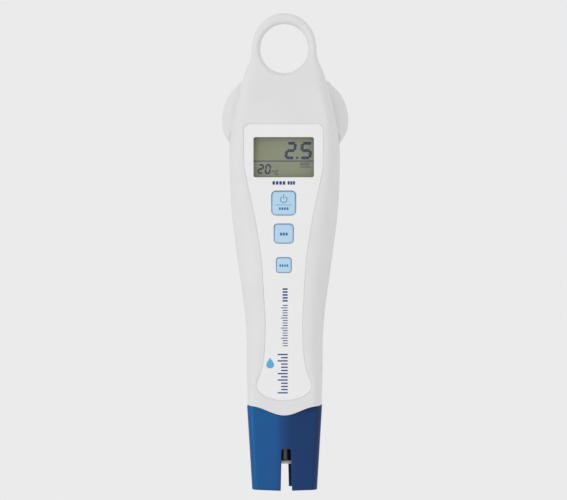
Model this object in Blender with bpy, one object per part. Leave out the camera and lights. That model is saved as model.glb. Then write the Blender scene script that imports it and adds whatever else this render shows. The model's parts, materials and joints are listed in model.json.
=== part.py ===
"""Pocket conductivity pen: a hand-held water tester on a hanging loop.

The pen stands along +Z on the flat end of its probe shroud.  The display and
the keys face -Y, the battery cap and its lock screw face +Y.  Shapes below are
worked out in millimetres and written to the scene in metres.
"""
from math import cos, pi, sin, sqrt, tan

import bmesh
import bpy
from mathutils import Vector

MM = 0.001
GAP = 0.3

# Overall shape of the casing, as (height, value) points that a smooth curve joins.
HALF_WIDTH = ((24, 14.1), (34, 14.1), (46, 14.4), (56, 14.5), (66, 15.1), (79, 16.8),
              (95, 19.0), (107, 20.3), (120, 20.9), (127, 21.0), (133, 20.7), (138, 20.0),
              (144, 18.8), (150.6, 16.9), (155.2, 15.6), (158.3, 14.5), (162, 12.9),
              (165.3, 12.1), (169, 11.6))
FRONT_DEPTH = ((24, 11.4), (34, 11.5), (50, 11.8), (65, 12.6), (80, 13.9), (95, 15.0),
               (110, 16.0), (125, 16.8), (133, 17.0), (140, 16.6), (147, 15.4),
               (152, 14.0), (157, 12.8), (162, 12.0), (169, 11.6))
REAR_DEPTH = ((24, 11.4), (34, 11.5), (50, 11.8), (65, 12.6), (80, 13.8), (95, 15.0),
              (110, 16.1), (120, 16.5), (131, 16.8), (145, 16.8), (156, -6.6), (169, -6.9))
WIDEST_Y = ((24, 0.0), (140, 0.0), (150, -4.5), (157, -8.6), (169, -9.1))
FLAT_FRONT = ((24, 9.6), (36, 10.2), (40, 10.9), (44, 9.9), (48, 8.8), (55, 8.0),
              (63, 7.8), (77, 8.6), (87, 9.3), (94, 10.2), (101, 11.3), (108, 12.7),
              (116, 14.4), (124, 15.6), (138, 15.4), (147, 13.6), (157, 10.5), (169, 8.4))
REAR_ROUNDING = ((24, 4.5), (45, 4.5), (75, 2.7), (131, 2.5), (145, 2.5), (156, 3.5))
CORNER_ROUNDING = 2.3
WALL = 2.0
PARTING_Y = -6.0
CAP_SEAM_Z = 131.0
CAVITY_TOP = 128.7

# Hanging loop.
LOOP_Z = 166.6
LOOP_HOLE_X = 9.06
LOOP_HOLE_Z = 9.25
LOOP_SIDE_BAND = 3.15
LOOP_TOP_BAND = 4.15
LOOP_Y = -9.1
LOOP_HALF_DEPTH = 2.7

# Label overlay in its recess.
LABEL_TOP = 137.8
LABEL_BOTTOM = 34.2
LABEL_FOOT_Z = 40.0
LABEL_CORNER = 2.6
LABEL_HALF_WIDTH = ((40, 10.5), (43.2, 9.3), (48, 7.9), (54.7, 7.2), (63, 7.0), (71, 7.4),
                    (77, 7.7), (87, 8.4), (94.3, 9.4), (101, 10.5), (108, 11.9),
                    (116, 13.6), (124, 14.9), (138, 14.9))
RECESS_DEPTH = 0.9
LABEL_FRONT = 0.3
LABEL_BACK = 0.6

# Display.
WINDOW_Z = 125.6
WINDOW_WIDTH = 23.0
WINDOW_HEIGHT = 15.4
LENS_FRONT_Y = -15.6
LENS_BACK_Y = -14.6
PANEL_FRONT_Y = -14.3
PANEL_BACK_Y = -12.8
BOARD_FRONT_Y = -9.6
BOARD_BACK_Y = -8.2
BOARD_BOTTOM = 62.0
BOARD_TOP = 137.0

# Keys, from top to bottom: name, height of the centre, side.
KEYS = (("power", 108.3, 9.2), ("cal", 96.9, 7.4), ("units", 85.1, 5.8))
KEY_PROUD = 0.35
KEY_TIP_Y = -11.0
KEY_LIP = 0.6
PLUNGER_HALF = 1.8
DOME_FRONT_Y = -10.2

# Battery, its tube, and the cap that covers the back of the head.
BATTERY_Y = 3.5
BATTERY_RADIUS = 5.2
BATTERY_BOTTOM = 87.8
BATTERY_TOP = 132.3
TUBE_BORE = 5.6
TUBE_RADIUS = 6.5
TUBE_BOTTOM = 85.3
NECK_RADIUS = 7.4
NECK_BOTTOM = 129.25
NECK_TOP = 139.0
CAP_BORE = 7.75
CAP_BORE_TOP = 143.0
CAP_HALF_WIDTH = ((131, 20.8), (132.6, 21.8), (134.6, 23.0), (137.5, 24.0), (140.5, 24.2),
                  (144, 23.8), (147.5, 22.7), (150.9, 20.7), (154, 17.6), (156, 13.4), (157, 8.6))
CAP_REAR = ((131, 16.8), (137.5, 17.0), (141, 16.8), (144, 16.1), (147.5, 14.8),
            (150.9, 12.8), (154, 10.0), (156, 7.2), (157, 4.6))
CAP_FRONT = ((131, 17.0), (134, 11.5), (138, 8.0), (144, 6.6), (150, 6.4), (154, 5.6), (156, 4.2),
             (157, 2.2))
CAP_FRONT_ROUNDING = ((131, 4.0), (138, 2.3))
CAP_WIDEST_Y = ((131, 0.0), (134, 1.8), (140, 4.6), (150, 4.0), (157, 1.4))
TAB_HALF_WIDTH = 7.0
TAB_BOTTOM = 110.0
TAB_INNER_Y = 12.9

# Lock screw through the cap's tab.
SCREW_Z = 117.5
SCREW_SHANK = 1.2
SCREW_HEAD = 3.3
SCREW_HEAD_Y = (15.7, 16.9)
WASHER_Y = (14.9, 15.4)
CHANNEL_FLOOR_Y = 14.6
SCREW_TIP_Y = 10.5

# Casing screws: side, height, floor of the counterbore, tip.
CASING_SCREWS = ((8.0, 54.0, 5.5, -10.2), (12.6, 100.0, 7.0, -11.6))
CASING_BOSS = 2.6

# Probe shroud, and the probe in its holder.
SHROUD_TOP = 31.9
SHROUD_DIP = 3.7
SHROUD_DIP_HALF = 12.5
SHROUD_BOTTOM_SIZE = (12.3, 9.9, 5.6)
SHROUD_TOP_SIZE = (14.2, 11.6, 7.0)
SHROUD_WALL = 1.6
RIDGE_RADIUS = 5.0
EDGE_RADIUS = 3.4
SLOT_WIDTH = 3.5
SLOT_TOP = 15.6
SLOT_OFFSET = 0.8
HOLDER_SIZE = (11.4, 8.9, 4.7)
HOLDER_BOTTOM = 17.5
HOLDER_TOP = 42.0
SEAL_Z = 37.0
PROBE_RADIUS = 4.6
PROBE_END = 9.8


def smooth(points, at):
    """Value at a height on the smooth, overshoot-free curve through the points."""
    if at <= points[0][0]:
        return points[0][1]
    if at >= points[-1][0]:
        return points[-1][1]
    steps = list(zip(points, points[1:]))
    slopes = [(b[1] - a[1]) / (b[0] - a[0]) for a, b in steps]
    tangents = [slopes[0]]
    for before, after in zip(slopes, slopes[1:]):
        same_way = before * after > 0
        tangents.append(2 * before * after / (before + after) if same_way else 0.0)
    tangents.append(slopes[-1])
    index = next(i for i, (a, b) in enumerate(steps) if a[0] <= at <= b[0])
    (z0, v0), (z1, v1) = steps[index]
    span = z1 - z0
    t = (at - z0) / span
    ease = t * t * (3 - 2 * t)
    lead = t * (1 - t) ** 2 * tangents[index] - t * t * (1 - t) * tangents[index + 1]
    return v0 + ease * (v1 - v0) + span * lead


def spaced(low, high, count):
    """Evenly spaced values from low to high, both included."""
    return [low + (high - low) * i / (count - 1) for i in range(count)]


# ---------------------------------------------------------------- materials and objects

def material(name, colour, roughness, metallic=0.0, clear=0.0):
    """Principled material with the part's colour and finish."""
    result = bpy.data.materials.new(name)
    result.use_nodes = True
    result.diffuse_color = (*colour, 1.0)
    shader = result.node_tree.nodes["Principled BSDF"]
    shader.inputs["Base Color"].default_value = (*colour, 1.0)
    shader.inputs["Roughness"].default_value = roughness
    shader.inputs["Metallic"].default_value = metallic
    shader.inputs["Transmission Weight"].default_value = clear
    return result


def make(name, bm, look, origin=(0.0, 0.0, 0.0)):
    """Object from a bmesh in millimetres, with its origin at the given point."""
    bmesh.ops.recalc_face_normals(bm, faces=bm.faces)
    bmesh.ops.translate(bm, verts=bm.verts, vec=-Vector(origin))
    bmesh.ops.scale(bm, verts=bm.verts, vec=(MM, MM, MM))
    mesh = bpy.data.meshes.new(name)
    bm.to_mesh(mesh)
    bm.free()
    mesh.shade_smooth()
    mesh.set_sharp_from_angle(angle=pi / 6)
    result = bpy.data.objects.new(name, mesh)
    result.location = Vector(origin) * MM
    bpy.context.scene.collection.objects.link(result)
    if look:
        mesh.materials.append(look)
    return result


def cutter(name, bm):
    """Guide solid for a Boolean: not part of the pen."""
    result = make(name, bm, None)
    result.hide_render = True
    result.display_type = "WIRE"
    return result


def combine(target, operation, tool):
    """Exact Boolean of the target with a guide solid."""
    step = target.modifiers.new(f"{operation.lower()} {tool.name}", "BOOLEAN")
    step.operation = operation
    step.solver = "EXACT"
    step.object = tool


# ---------------------------------------------------------------- shapes

def loft(rings, closed=False):
    """Solid skinned over rings of equal length; closed joins the last to the first."""
    bm = bmesh.new()
    loops = [[bm.verts.new(point) for point in ring] for ring in rings]
    pairs = list(zip(loops, loops[1:]))
    if closed:
        pairs.append((loops[-1], loops[0]))
    else:
        bm.faces.new(loops[0])
        bm.faces.new(loops[-1])
    for low, high in pairs:
        for i in range(len(low)):
            j = (i + 1) % len(low)
            bm.faces.new((low[i], low[j], high[j], high[i]))
    bent = [face for face in bm.faces if len(face.verts) == 4]
    bmesh.ops.triangulate(bm, faces=bent)
    return bm


def box(low, high):
    """Box between two corners."""
    (x0, y0, z0), (x1, y1, z1) = low, high
    rings = [[(x0, y0, z), (x1, y0, z), (x1, y1, z), (x0, y1, z)] for z in (z0, z1)]
    return loft(rings)


def circle(radius, count=24):
    """Points of a circle about the origin, anticlockwise."""
    return [(radius * cos(2 * pi * i / count), radius * sin(2 * pi * i / count))
            for i in range(count)]


def turned(profile, centre, along="Z", count=24):
    """Solid of revolution from (radius, position) points, about an axis along Z or Y."""
    rings = []
    for radius, place in profile:
        if along == "Z":
            rings.append([(centre[0] + u, centre[1] + v, place) for u, v in circle(radius, count)])
        else:
            rings.append([(centre[0] + u, place, centre[1] + v) for u, v in circle(radius, count)])
    return loft(rings)


def washer_shape(inner, outer, low, high, centre, along="Z", count=24):
    """Flat ring of rectangular section."""
    rings = []
    for u, v in circle(1.0, count):
        ring = []
        for radius, place in ((inner, low), (outer, low), (outer, high), (inner, high)):
            x = centre[0] + radius * u
            other = centre[1] + radius * v
            ring.append((x, other, place) if along == "Z" else (x, place, other))
        rings.append(ring)
    return loft(rings, closed=True)


def round_ring(radius, section, height, centre, count=24, sides=6):
    """O-ring lying level at a height."""
    rings = []
    for u, v in circle(1.0, count):
        ring = []
        for a, b in circle(section, sides):
            ring.append((centre[0] + (radius + a) * u, centre[1] + (radius + a) * v, height + b))
        rings.append(ring)
    return loft(rings, closed=True)


def rounded_polygon(corners, radii, steps=4):
    """Convex outline whose corners are replaced by arcs of the given radii."""
    outline = []
    count = len(corners)
    for i, corner in enumerate(corners):
        here = Vector(corner)
        back = (Vector(corners[i - 1]) - here).normalized()
        ahead = (Vector(corners[(i + 1) % count]) - here).normalized()
        half_angle = back.angle(ahead) / 2
        bisector = (back + ahead).normalized()
        centre = here + bisector * radii[i] / sin(half_angle)
        start = here + back * radii[i] / tan(half_angle) - centre
        end = here + ahead * radii[i] / tan(half_angle) - centre
        sweep = start.angle_signed(end)
        for k in range(steps + 1):
            turn = -sweep * k / steps
            x = start.x * cos(turn) - start.y * sin(turn)
            y = start.x * sin(turn) + start.y * cos(turn)
            outline.append((centre.x + x, centre.y + y))
    return outline


def rounded_rectangle(half_x, half_z, radius, centre=(0.0, 0.0), steps=3):
    """Rectangle with round corners, as (x, z) points."""
    corners = ((-half_x, -half_z), (half_x, -half_z), (half_x, half_z), (-half_x, half_z))
    outline = rounded_polygon(corners, [radius] * 4, steps)
    return [(centre[0] + x, centre[1] + z) for x, z in outline]


def plate(outline, front, back):
    """Flat piece of an (x, z) outline between two depths."""
    return loft([[(x, y, z) for x, z in outline] for y in (front, back)])


def frame(outer, inner, front, back):
    """Flat ring between two (x, z) outlines of equal length."""
    rings = []
    for (xo, zo), (xi, zi) in zip(outer, inner):
        rings.append([(xo, front, zo), (xo, back, zo), (xi, back, zi), (xi, front, zi)])
    return loft(rings, closed=True)


def wire(name, points, radius, look):
    """Round lead along a smooth curve through the points."""
    curve = bpy.data.curves.new(name, "CURVE")
    curve.dimensions = "3D"
    curve.bevel_depth = radius * MM
    curve.bevel_resolution = 2
    curve.use_fill_caps = True
    curve.resolution_u = 1
    line = curve.splines.new("POLY")
    route = [[smooth([(i, p[axis]) for i, p in enumerate(points)], t) for axis in range(3)]
             for t in spaced(0, len(points) - 1, 4 * len(points))]
    line.points.add(len(route) - 1)
    for target, point in zip(line.points, route):
        target.co = (*(Vector(point) * MM), 1.0)
    curve.materials.append(look)
    result = bpy.data.objects.new(name, curve)
    bpy.context.scene.collection.objects.link(result)
    return result


# ---------------------------------------------------------------- casing

def quarter(width, depth, rounding, count):
    """Superellipse quarter from (0, depth) to (width, 0)."""
    points = []
    for i in range(count + 1):
        angle = pi / 2 * i / count
        points.append((width * sin(angle) ** (2 / rounding),
                       depth * max(cos(angle), 0.0) ** (2 / rounding)))
    return points


def casing_section(z, inset=0.0, front_count=6, rear_count=7):
    """Level section of the casing: flat front, round corners, full round back."""
    width = smooth(HALF_WIDTH, z) - inset
    flat = min(smooth(FLAT_FRONT, z), width - 1.5)
    widest = smooth(WIDEST_Y, z)
    front = smooth(FRONT_DEPTH, z) - inset + widest
    rear = smooth(REAR_DEPTH, z) - inset - widest
    corner = quarter(width - flat, front, CORNER_ROUNDING, front_count)
    back = quarter(width, rear, smooth(REAR_ROUNDING, z), rear_count)
    right = [(flat + x, widest - y) for x, y in corner]
    right += [(x, widest + y) for x, y in reversed(back[:-1])]
    left = [(-x, y) for x, y in reversed(right[:-1])]
    return [(x, y, z) for x, y in right + left]


def casing_loft(low, high, count, inset=0.0, front_count=6, rear_count=7):
    """Solid of the casing between two heights."""
    return loft([casing_section(z, inset, front_count, rear_count)
                 for z in spaced(low, high, count)])


def rear_surface(x, z):
    """Depth of the casing's back at a point."""
    rounding = smooth(REAR_ROUNDING, z)
    share = min(abs(x) / smooth(HALF_WIDTH, z), 1.0)
    return smooth(REAR_DEPTH, z) * (1 - share ** rounding) ** (1 / rounding)


def side_at(y, z, inset):
    """Half-width of the front casing's wall at a depth."""
    width = smooth(HALF_WIDTH, z) - inset
    flat = smooth(FLAT_FRONT, z)
    depth = smooth(FRONT_DEPTH, z) - inset
    rise = (1 - (abs(y) / depth) ** CORNER_ROUNDING) ** (1 / CORNER_ROUNDING)
    return flat + (width - flat) * rise


def label_half_width(z, margin=0.0):
    """Half-width of the label outline, grown by a margin."""
    if z < LABEL_FOOT_Z:
        drop = (LABEL_FOOT_Z - z) / (LABEL_FOOT_Z - LABEL_BOTTOM + margin)
        return (LABEL_HALF_WIDTH[0][1] + margin) * sqrt(max(1 - drop * drop, 0.0))
    width = smooth(LABEL_HALF_WIDTH, z) + margin
    radius = LABEL_CORNER + margin
    above = z - (LABEL_TOP + margin - radius)
    if above > 0:
        width += sqrt(max(radius * radius - above * above, 0.0)) - radius
    return width


def label_body(front, back, margin=0.0):
    """Solid of the label outline; front and back are depths below the casing's face."""
    low = LABEL_BOTTOM - margin
    high = LABEL_TOP + margin
    foot = [low + (LABEL_FOOT_Z - low) * (1 - cos(pi / 2 * i / 6)) for i in range(7)]
    middle = spaced(LABEL_FOOT_Z, LABEL_TOP - LABEL_CORNER, 22)
    corner = [LABEL_TOP - LABEL_CORNER + (LABEL_CORNER + margin) * sin(pi / 2 * i / 5)
              for i in range(6)]
    heights = foot[:-1] + middle + corner[1:]
    rings = []
    for z in heights:
        width = max(label_half_width(z, margin), 0.4)
        face = -smooth(FRONT_DEPTH, z)
        near = -30.0 if front is None else face + front
        rings.append([(-width, near, z), (width, near, z), (width, face + back, z),
                      (-width, face + back, z)])
    rings[0] = [(x, y, low) for x, y, _ in rings[0]]
    rings[-1] = [(x, y, high) for x, y, _ in rings[-1]]
    return loft(rings)


def shoulder_line(x):
    """Height of the wavy joint between the casing and the shroud."""
    if abs(x) >= SHROUD_DIP_HALF:
        return SHROUD_TOP
    return SHROUD_TOP - SHROUD_DIP * (0.5 + 0.5 * cos(pi * x / SHROUD_DIP_HALF))


def shoulder_guide(name, shift, far):
    """Guide solid between the wavy joint, moved by a shift, and a far height."""
    line = [(-25.0, SHROUD_TOP)]
    line += [(x, shoulder_line(x)) for x in spaced(-SHROUD_DIP_HALF, SHROUD_DIP_HALF, 17)]
    line += [(25.0, SHROUD_TOP)]
    outline = [(x, z + shift) for x, z in line] + [(25.0, far), (-25.0, far)]
    return cutter(name, plate(outline, -25.0, 25.0))


def boss(x, z, near, far):
    """Guide solid of a screw boss."""
    return turned(((CASING_BOSS, near), (CASING_BOSS, far)), (x, z), "Y", 16)


def screw_hole(x, z, tip, floor):
    """Guide solid of a screw's hole with its counterbore."""
    profile = ((1.35, tip), (1.35, floor), (2.4, floor), (2.4, 25.0))
    return turned(profile, (x, z), "Y", 16)


def loop_ring():
    """Rounded ring of the hanging loop, a little thicker at its top."""
    rings = []
    for i in range(36):
        angle = 2 * pi * i / 36
        across = LOOP_SIDE_BAND + (LOOP_TOP_BAND - LOOP_SIDE_BAND) * sin(angle) ** 2
        ring = []
        for k in range(10):
            turn = 2 * pi * k / 10
            out = across / 2 * (1 + abs(cos(turn)) ** 0.8 * (1 if cos(turn) > 0 else -1))
            depth = LOOP_HALF_DEPTH * abs(sin(turn)) ** 0.8 * (1 if sin(turn) > 0 else -1)
            ring.append(((LOOP_HOLE_X + out) * cos(angle), LOOP_Y + depth,
                         LOOP_Z + (LOOP_HOLE_Z + out) * sin(angle)))
        rings.append(ring)
    return loft(rings, closed=True)


def front_housing(look):
    """Front shell: hanging loop, label recess, display and key openings."""
    heights = spaced(24, 144, 19) + spaced(148, 168, 8)
    shell = make("front_housing", loft([casing_section(z, 0.0, 6, 4) for z in heights]), look)
    hole = [((LOOP_HOLE_X + 1.6) * u, LOOP_Z + (LOOP_HOLE_Z + 1.8) * v) for u, v in circle(1.0, 34)]
    combine(shell, "DIFFERENCE", cutter("loop_hole_guide", plate(hole, -30.0, 30.0)))
    combine(shell, "UNION", cutter("loop_ring_guide", loop_ring()))
    behind = box((-40, PARTING_Y - GAP / 2, 10), (40, 40, 190))
    combine(shell, "DIFFERENCE", cutter("front_parting_guide", behind))
    combine(shell, "DIFFERENCE", shoulder_guide("front_foot_guide", GAP / 2, -5.0))
    cavity = casing_loft(20, CAVITY_TOP, 11, WALL, 3, 2)
    combine(shell, "DIFFERENCE", cutter("front_cavity_guide", cavity))
    pocket = cutter("head_pocket_guide", casing_loft(CAVITY_TOP - 3, 138.5, 3, WALL, 3, 2))
    limit = cutter("pocket_limit_guide", box((-16.5, -30, 110), (16.5, PARTING_Y - 1.9, 150)))
    combine(pocket, "INTERSECT", limit)
    combine(shell, "DIFFERENCE", pocket)
    for side in (-1, 1):
        for x, z, _, tip in CASING_SCREWS:
            tag = f"{'left' if side < 0 else 'right'}_{z:.0f}"
            post = boss(side * x, z, tip - 0.9, PARTING_Y - GAP / 2)
            combine(shell, "UNION", cutter(f"front_boss_{tag}", post))
            hole = turned(((1.35, tip - 0.3), (1.35, 0.0)), (side * x, z), "Y", 12)
            combine(shell, "DIFFERENCE", cutter(f"front_thread_{tag}", hole))
    recess = label_body(None, RECESS_DEPTH, GAP)
    combine(shell, "DIFFERENCE", cutter("label_recess_guide", recess))
    opening = rounded_rectangle(WINDOW_WIDTH / 2 + 0.8, WINDOW_HEIGHT / 2 + 0.8, 1.2, (0, WINDOW_Z))
    combine(shell, "DIFFERENCE", cutter("window_guide", plate(opening, -30.0, PANEL_BACK_Y)))
    for name, z, side in KEYS:
        half = side / 2 + GAP
        hole = rounded_rectangle(half, half, side * 0.2, (0, z))
        combine(shell, "DIFFERENCE", cutter(f"{name}_hole_guide", plate(hole, -30.0, KEY_TIP_Y)))
    return shell


def rear_housing(look):
    """Rear shell: seat for the battery tube, screw bosses, seat for the cap's tab."""
    shell = make("rear_housing", casing_loft(24, CAP_SEAM_Z - GAP / 2, 18, 0.0, 3, 8), look)
    ahead = box((-40, -40, 10), (40, PARTING_Y + GAP / 2, 190))
    combine(shell, "DIFFERENCE", cutter("rear_parting_guide", ahead))
    combine(shell, "DIFFERENCE", shoulder_guide("rear_foot_guide", GAP / 2, -5.0))
    cavity = casing_loft(20, CAVITY_TOP, 11, WALL, 3, 6)
    combine(shell, "DIFFERENCE", cutter("rear_cavity_guide", cavity))
    pad = box((-9.3, BATTERY_Y + TUBE_RADIUS + GAP, 107.7), (9.3, 14.6, 129.5))
    combine(shell, "UNION", cutter("tab_pad_guide", pad))
    seat = turned(((TUBE_RADIUS + GAP, 120), (TUBE_RADIUS + GAP, NECK_BOTTOM - GAP),
                   (NECK_RADIUS + GAP, NECK_BOTTOM - GAP), (NECK_RADIUS + GAP, 140)),
                  (0, BATTERY_Y), "Z", 28)
    combine(shell, "DIFFERENCE", cutter("neck_seat_guide", seat))
    for side in (-1, 1):
        for x, z, floor, tip in CASING_SCREWS:
            tag = f"{'left' if side < 0 else 'right'}_{z:.0f}"
            far = rear_surface(x + CASING_BOSS, z) - 0.4
            post = boss(side * x, z, PARTING_Y + GAP / 2, far)
            combine(shell, "UNION", cutter(f"rear_boss_{tag}", post))
            hole = screw_hole(side * x, z, tip, floor)
            combine(shell, "DIFFERENCE", cutter(f"rear_bore_{tag}", hole))
    combine(shell, "DIFFERENCE", cutter("tab_seat_guide", tab_body(GAP, 30.0)))
    thread = turned(((SCREW_SHANK + GAP, 9.0), (SCREW_SHANK + GAP, 20.0)), (0, SCREW_Z), "Y", 16)
    combine(shell, "DIFFERENCE", cutter("lock_thread_guide", thread))
    return shell


def tab_body(margin=0.0, outer=None):
    """Solid of the cap's tab; with a margin and an outer depth it is the seat for it."""
    half = TAB_HALF_WIDTH + margin
    rings = []
    for z in spaced(TAB_BOTTOM - margin, CAP_SEAM_Z + 2.0, 7):
        across = spaced(half, -half, 7)
        ring = [(-half, TAB_INNER_Y - margin, z), (half, TAB_INNER_Y - margin, z)]
        ring += [(x, outer if outer else rear_surface(x, z), z) for x in across]
        rings.append(ring)
    return loft(rings)


def housing_gasket(look):
    """Flat seal that runs round inside the joint of the two shells."""
    low, high = 58.5, 127.0
    outer = [(side_at(-6.8, z, WALL) - 2 * GAP, z) for z in spaced(low, high, 12)]
    inner = [(x - 0.9, min(max(z, low + 0.9), high - 0.9)) for x, z in outer]
    outer += [(-x, z) for x, z in reversed(outer)]
    inner += [(-x, z) for x, z in reversed(inner)]
    return make("housing_gasket", frame(outer, inner, -6.8, -5.2), look)


def label_overlay(look):
    """Printed front sheet, open at the display and at each key."""
    sheet = make("label_overlay", label_body(LABEL_FRONT, LABEL_BACK), look)
    opening = rounded_rectangle(WINDOW_WIDTH / 2, WINDOW_HEIGHT / 2, 0.75, (0, WINDOW_Z))
    combine(sheet, "DIFFERENCE", cutter("label_window_guide", plate(opening, -30.0, 0.0)))
    for name, z, side in KEYS:
        half = side / 2 + GAP
        hole = rounded_rectangle(half, half, side * 0.2, (0, z))
        combine(sheet, "DIFFERENCE", cutter(f"label_{name}_guide", plate(hole, -30.0, 0.0)))
    return sheet


# ---------------------------------------------------------------- display and electronics

def display(looks):
    """Lens, liquid crystal panel, its bezel, reflector and contact strips."""
    half_w = WINDOW_WIDTH / 2
    half_h = WINDOW_HEIGHT / 2
    lens = rounded_rectangle(half_w + 0.5, half_h + 0.5, 0.9, (0, WINDOW_Z))
    make("display_lens", plate(lens, LENS_FRONT_Y, LENS_BACK_Y), looks["lens"])
    panel = rounded_rectangle(half_w + 1.4, half_h + 1.6, 0.2, (0, WINDOW_Z), 1)
    make("lcd_panel", plate(panel, PANEL_FRONT_Y, PANEL_BACK_Y), looks["lcd"])
    inner = rounded_rectangle(half_w + 1.7, half_h + 1.9, 0.3, (0, WINDOW_Z), 2)
    outer = rounded_rectangle(half_w + 2.9, half_h + 3.1, 1.0, (0, WINDOW_Z), 2)
    make("lcd_bezel", frame(outer, inner, PANEL_FRONT_Y + 0.4, BOARD_FRONT_Y - GAP), looks["black"])
    sheet = rounded_rectangle(half_w, half_h - 1.0, 0.4, (0, WINDOW_Z), 1)
    make("lcd_reflector", plate(sheet, PANEL_BACK_Y + GAP, PANEL_BACK_Y + 0.8), looks["reflector"])
    for name, side in (("top", 1), ("bottom", -1)):
        strip = rounded_rectangle(half_w, 0.9, 0.2, (0, WINDOW_Z + side * (half_h + 0.5)), 1)
        make(f"contact_strip_{name}", plate(strip, PANEL_BACK_Y + GAP, BOARD_FRONT_Y - GAP),
             looks["rubber"])


def main_board(looks):
    """Circuit board with its chips, and the snap domes under the keys."""
    outline = ((-9.3, BOARD_BOTTOM), (9.3, BOARD_BOTTOM), (9.3, 111), (14, 114), (14, BOARD_TOP),
               (-14, BOARD_TOP), (-14, 114), (-9.3, 111))
    make("main_board", plate(outline, BOARD_FRONT_Y, BOARD_BACK_Y), looks["board"])
    chips = (("microcontroller", 0.0, 119.0, 3.5, 3.5, 1.0),
             ("amplifier_chip", 3.0, 72.0, 2.5, 2.0, 1.2),
             ("crystal_can", -7.0, 121.0, 1.2, 3.0, 1.2))
    for name, x, z, half_x, half_z, height in chips:
        outline = rounded_rectangle(half_x, half_z, 0.3, (x, z), 1)
        look = looks["steel"] if name == "crystal_can" else looks["black"]
        make(name, plate(outline, BOARD_BACK_Y + GAP, BOARD_BACK_Y + GAP + height), look)
    for name, z, _ in KEYS:
        dome = turned(((2.6, BOARD_FRONT_Y - GAP), (2.6, BOARD_FRONT_Y - GAP - 0.1),
                       (1.6, DOME_FRONT_Y + 0.05), (0.6, DOME_FRONT_Y)), (0, z), "Y", 16)
        make(f"dome_{name}", dome, looks["steel"])


def keypad_mat(look):
    """Silicone spacer sheet on the board, open round each dome."""
    outline = rounded_rectangle(6.8, 18.0, 1.5, (0, 96.3))
    mat = make("keypad_mat", plate(outline, -10.4, BOARD_FRONT_Y - GAP), look)
    for name, z, _ in KEYS:
        hole = plate(rounded_rectangle(3.0, 3.0, 0.8, (0, z), 2), -15.0, 0.0)
        combine(mat, "DIFFERENCE", cutter(f"mat_{name}_guide", hole))
    return mat


def key(name, z, side, look):
    """Push key: crowned cap, retaining lip behind the wall, plunger to its dome."""
    half = side / 2
    face = -smooth(FRONT_DEPTH, z) - KEY_PROUD + LABEL_FRONT
    lip = -smooth(FRONT_DEPTH, z - half) + WALL + GAP
    steps = ((half - 1.3, 0.35, face), (half - 0.6, 0.45, face + 0.12), (half - 0.15, 0.55, face + 0.4),
             (half, 0.6, face + 0.8), (half, 0.6, lip), (half + KEY_LIP, 0.6, lip),
             (half + KEY_LIP, 0.6, lip + 0.6), (PLUNGER_HALF, 0.3, lip + 0.6),
             (PLUNGER_HALF, 0.3, KEY_TIP_Y))
    rings = []
    for size, share, y in steps:
        radius = share * side * 0.2 / 0.6
        rings.append([(x, y, height) for x, height in rounded_rectangle(size, size, radius, (0, z))])
    return make(f"key_{name}", loft(rings), look, (0.0, face, z))


# ---------------------------------------------------------------- battery and its cap

def battery(looks):
    """Battery tube with its neck and seal, the cell, and the contact under it."""
    axis = (0.0, BATTERY_Y)
    tube = turned(((TUBE_RADIUS, TUBE_BOTTOM), (TUBE_RADIUS, NECK_BOTTOM), (NECK_RADIUS, NECK_BOTTOM),
                   (NECK_RADIUS, 134.0), (6.5, 134.0), (6.5, 135.8), (NECK_RADIUS, 135.8),
                   (NECK_RADIUS, NECK_TOP)), axis, "Z", 28)
    tube = make("battery_tube", tube, looks["inner"])
    bore = turned(((TUBE_BORE, TUBE_BOTTOM + 1.5), (TUBE_BORE, NECK_TOP + 5)), axis, "Z", 28)
    combine(tube, "DIFFERENCE", cutter("tube_bore_guide", bore))
    make("cap_seal_ring", round_ring(7.12, 0.52, 134.9, axis), looks["rubber"])
    contact = turned(((4.5, TUBE_BOTTOM + 1.8), (4.5, TUBE_BOTTOM + 2.2)), axis, "Z", 20)
    make("battery_contact", contact, looks["steel"])
    cell = turned(((1.9, BATTERY_BOTTOM), (1.9, BATTERY_BOTTOM + 0.8),
                   (BATTERY_RADIUS - 0.4, BATTERY_BOTTOM + 0.8),
                   (BATTERY_RADIUS, BATTERY_BOTTOM + 1.2), (BATTERY_RADIUS, BATTERY_TOP - 0.3),
                   (BATTERY_RADIUS - 0.3, BATTERY_TOP)), axis, "Z", 24)
    make("battery_cell", cell, looks["cell"])
    wire("battery_wire_positive",
         ((1.5, 3.5, 84.6), (1.5, 1.5, 81.5), (1.5, -4.0, 79.0), (1.5, -7.5, 78.5)), 0.6,
         looks["red"])
    wire("battery_wire_negative",
         ((-7.9, 3.0, 128.0), (-7.9, 0.5, 122.0), (-7.5, -4.0, 113.0), (-7.0, -7.5, 111.0)), 0.6,
         looks["black"])


def cap_section(z):
    """Level section of the battery cap."""
    width = smooth(CAP_HALF_WIDTH, z)
    widest = smooth(CAP_WIDEST_Y, z)
    front = quarter(width, smooth(CAP_FRONT, z) + widest, smooth(CAP_FRONT_ROUNDING, z), 8)
    rear = quarter(width, smooth(CAP_REAR, z) - widest, 2.5, 8)
    right = [(x, widest - y) for x, y in front]
    right += [(x, widest + y) for x, y in reversed(rear[:-1])]
    left = [(-x, y) for x, y in reversed(right[1:-1])]
    return [(x, y, z) for x, y in right + left]


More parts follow.
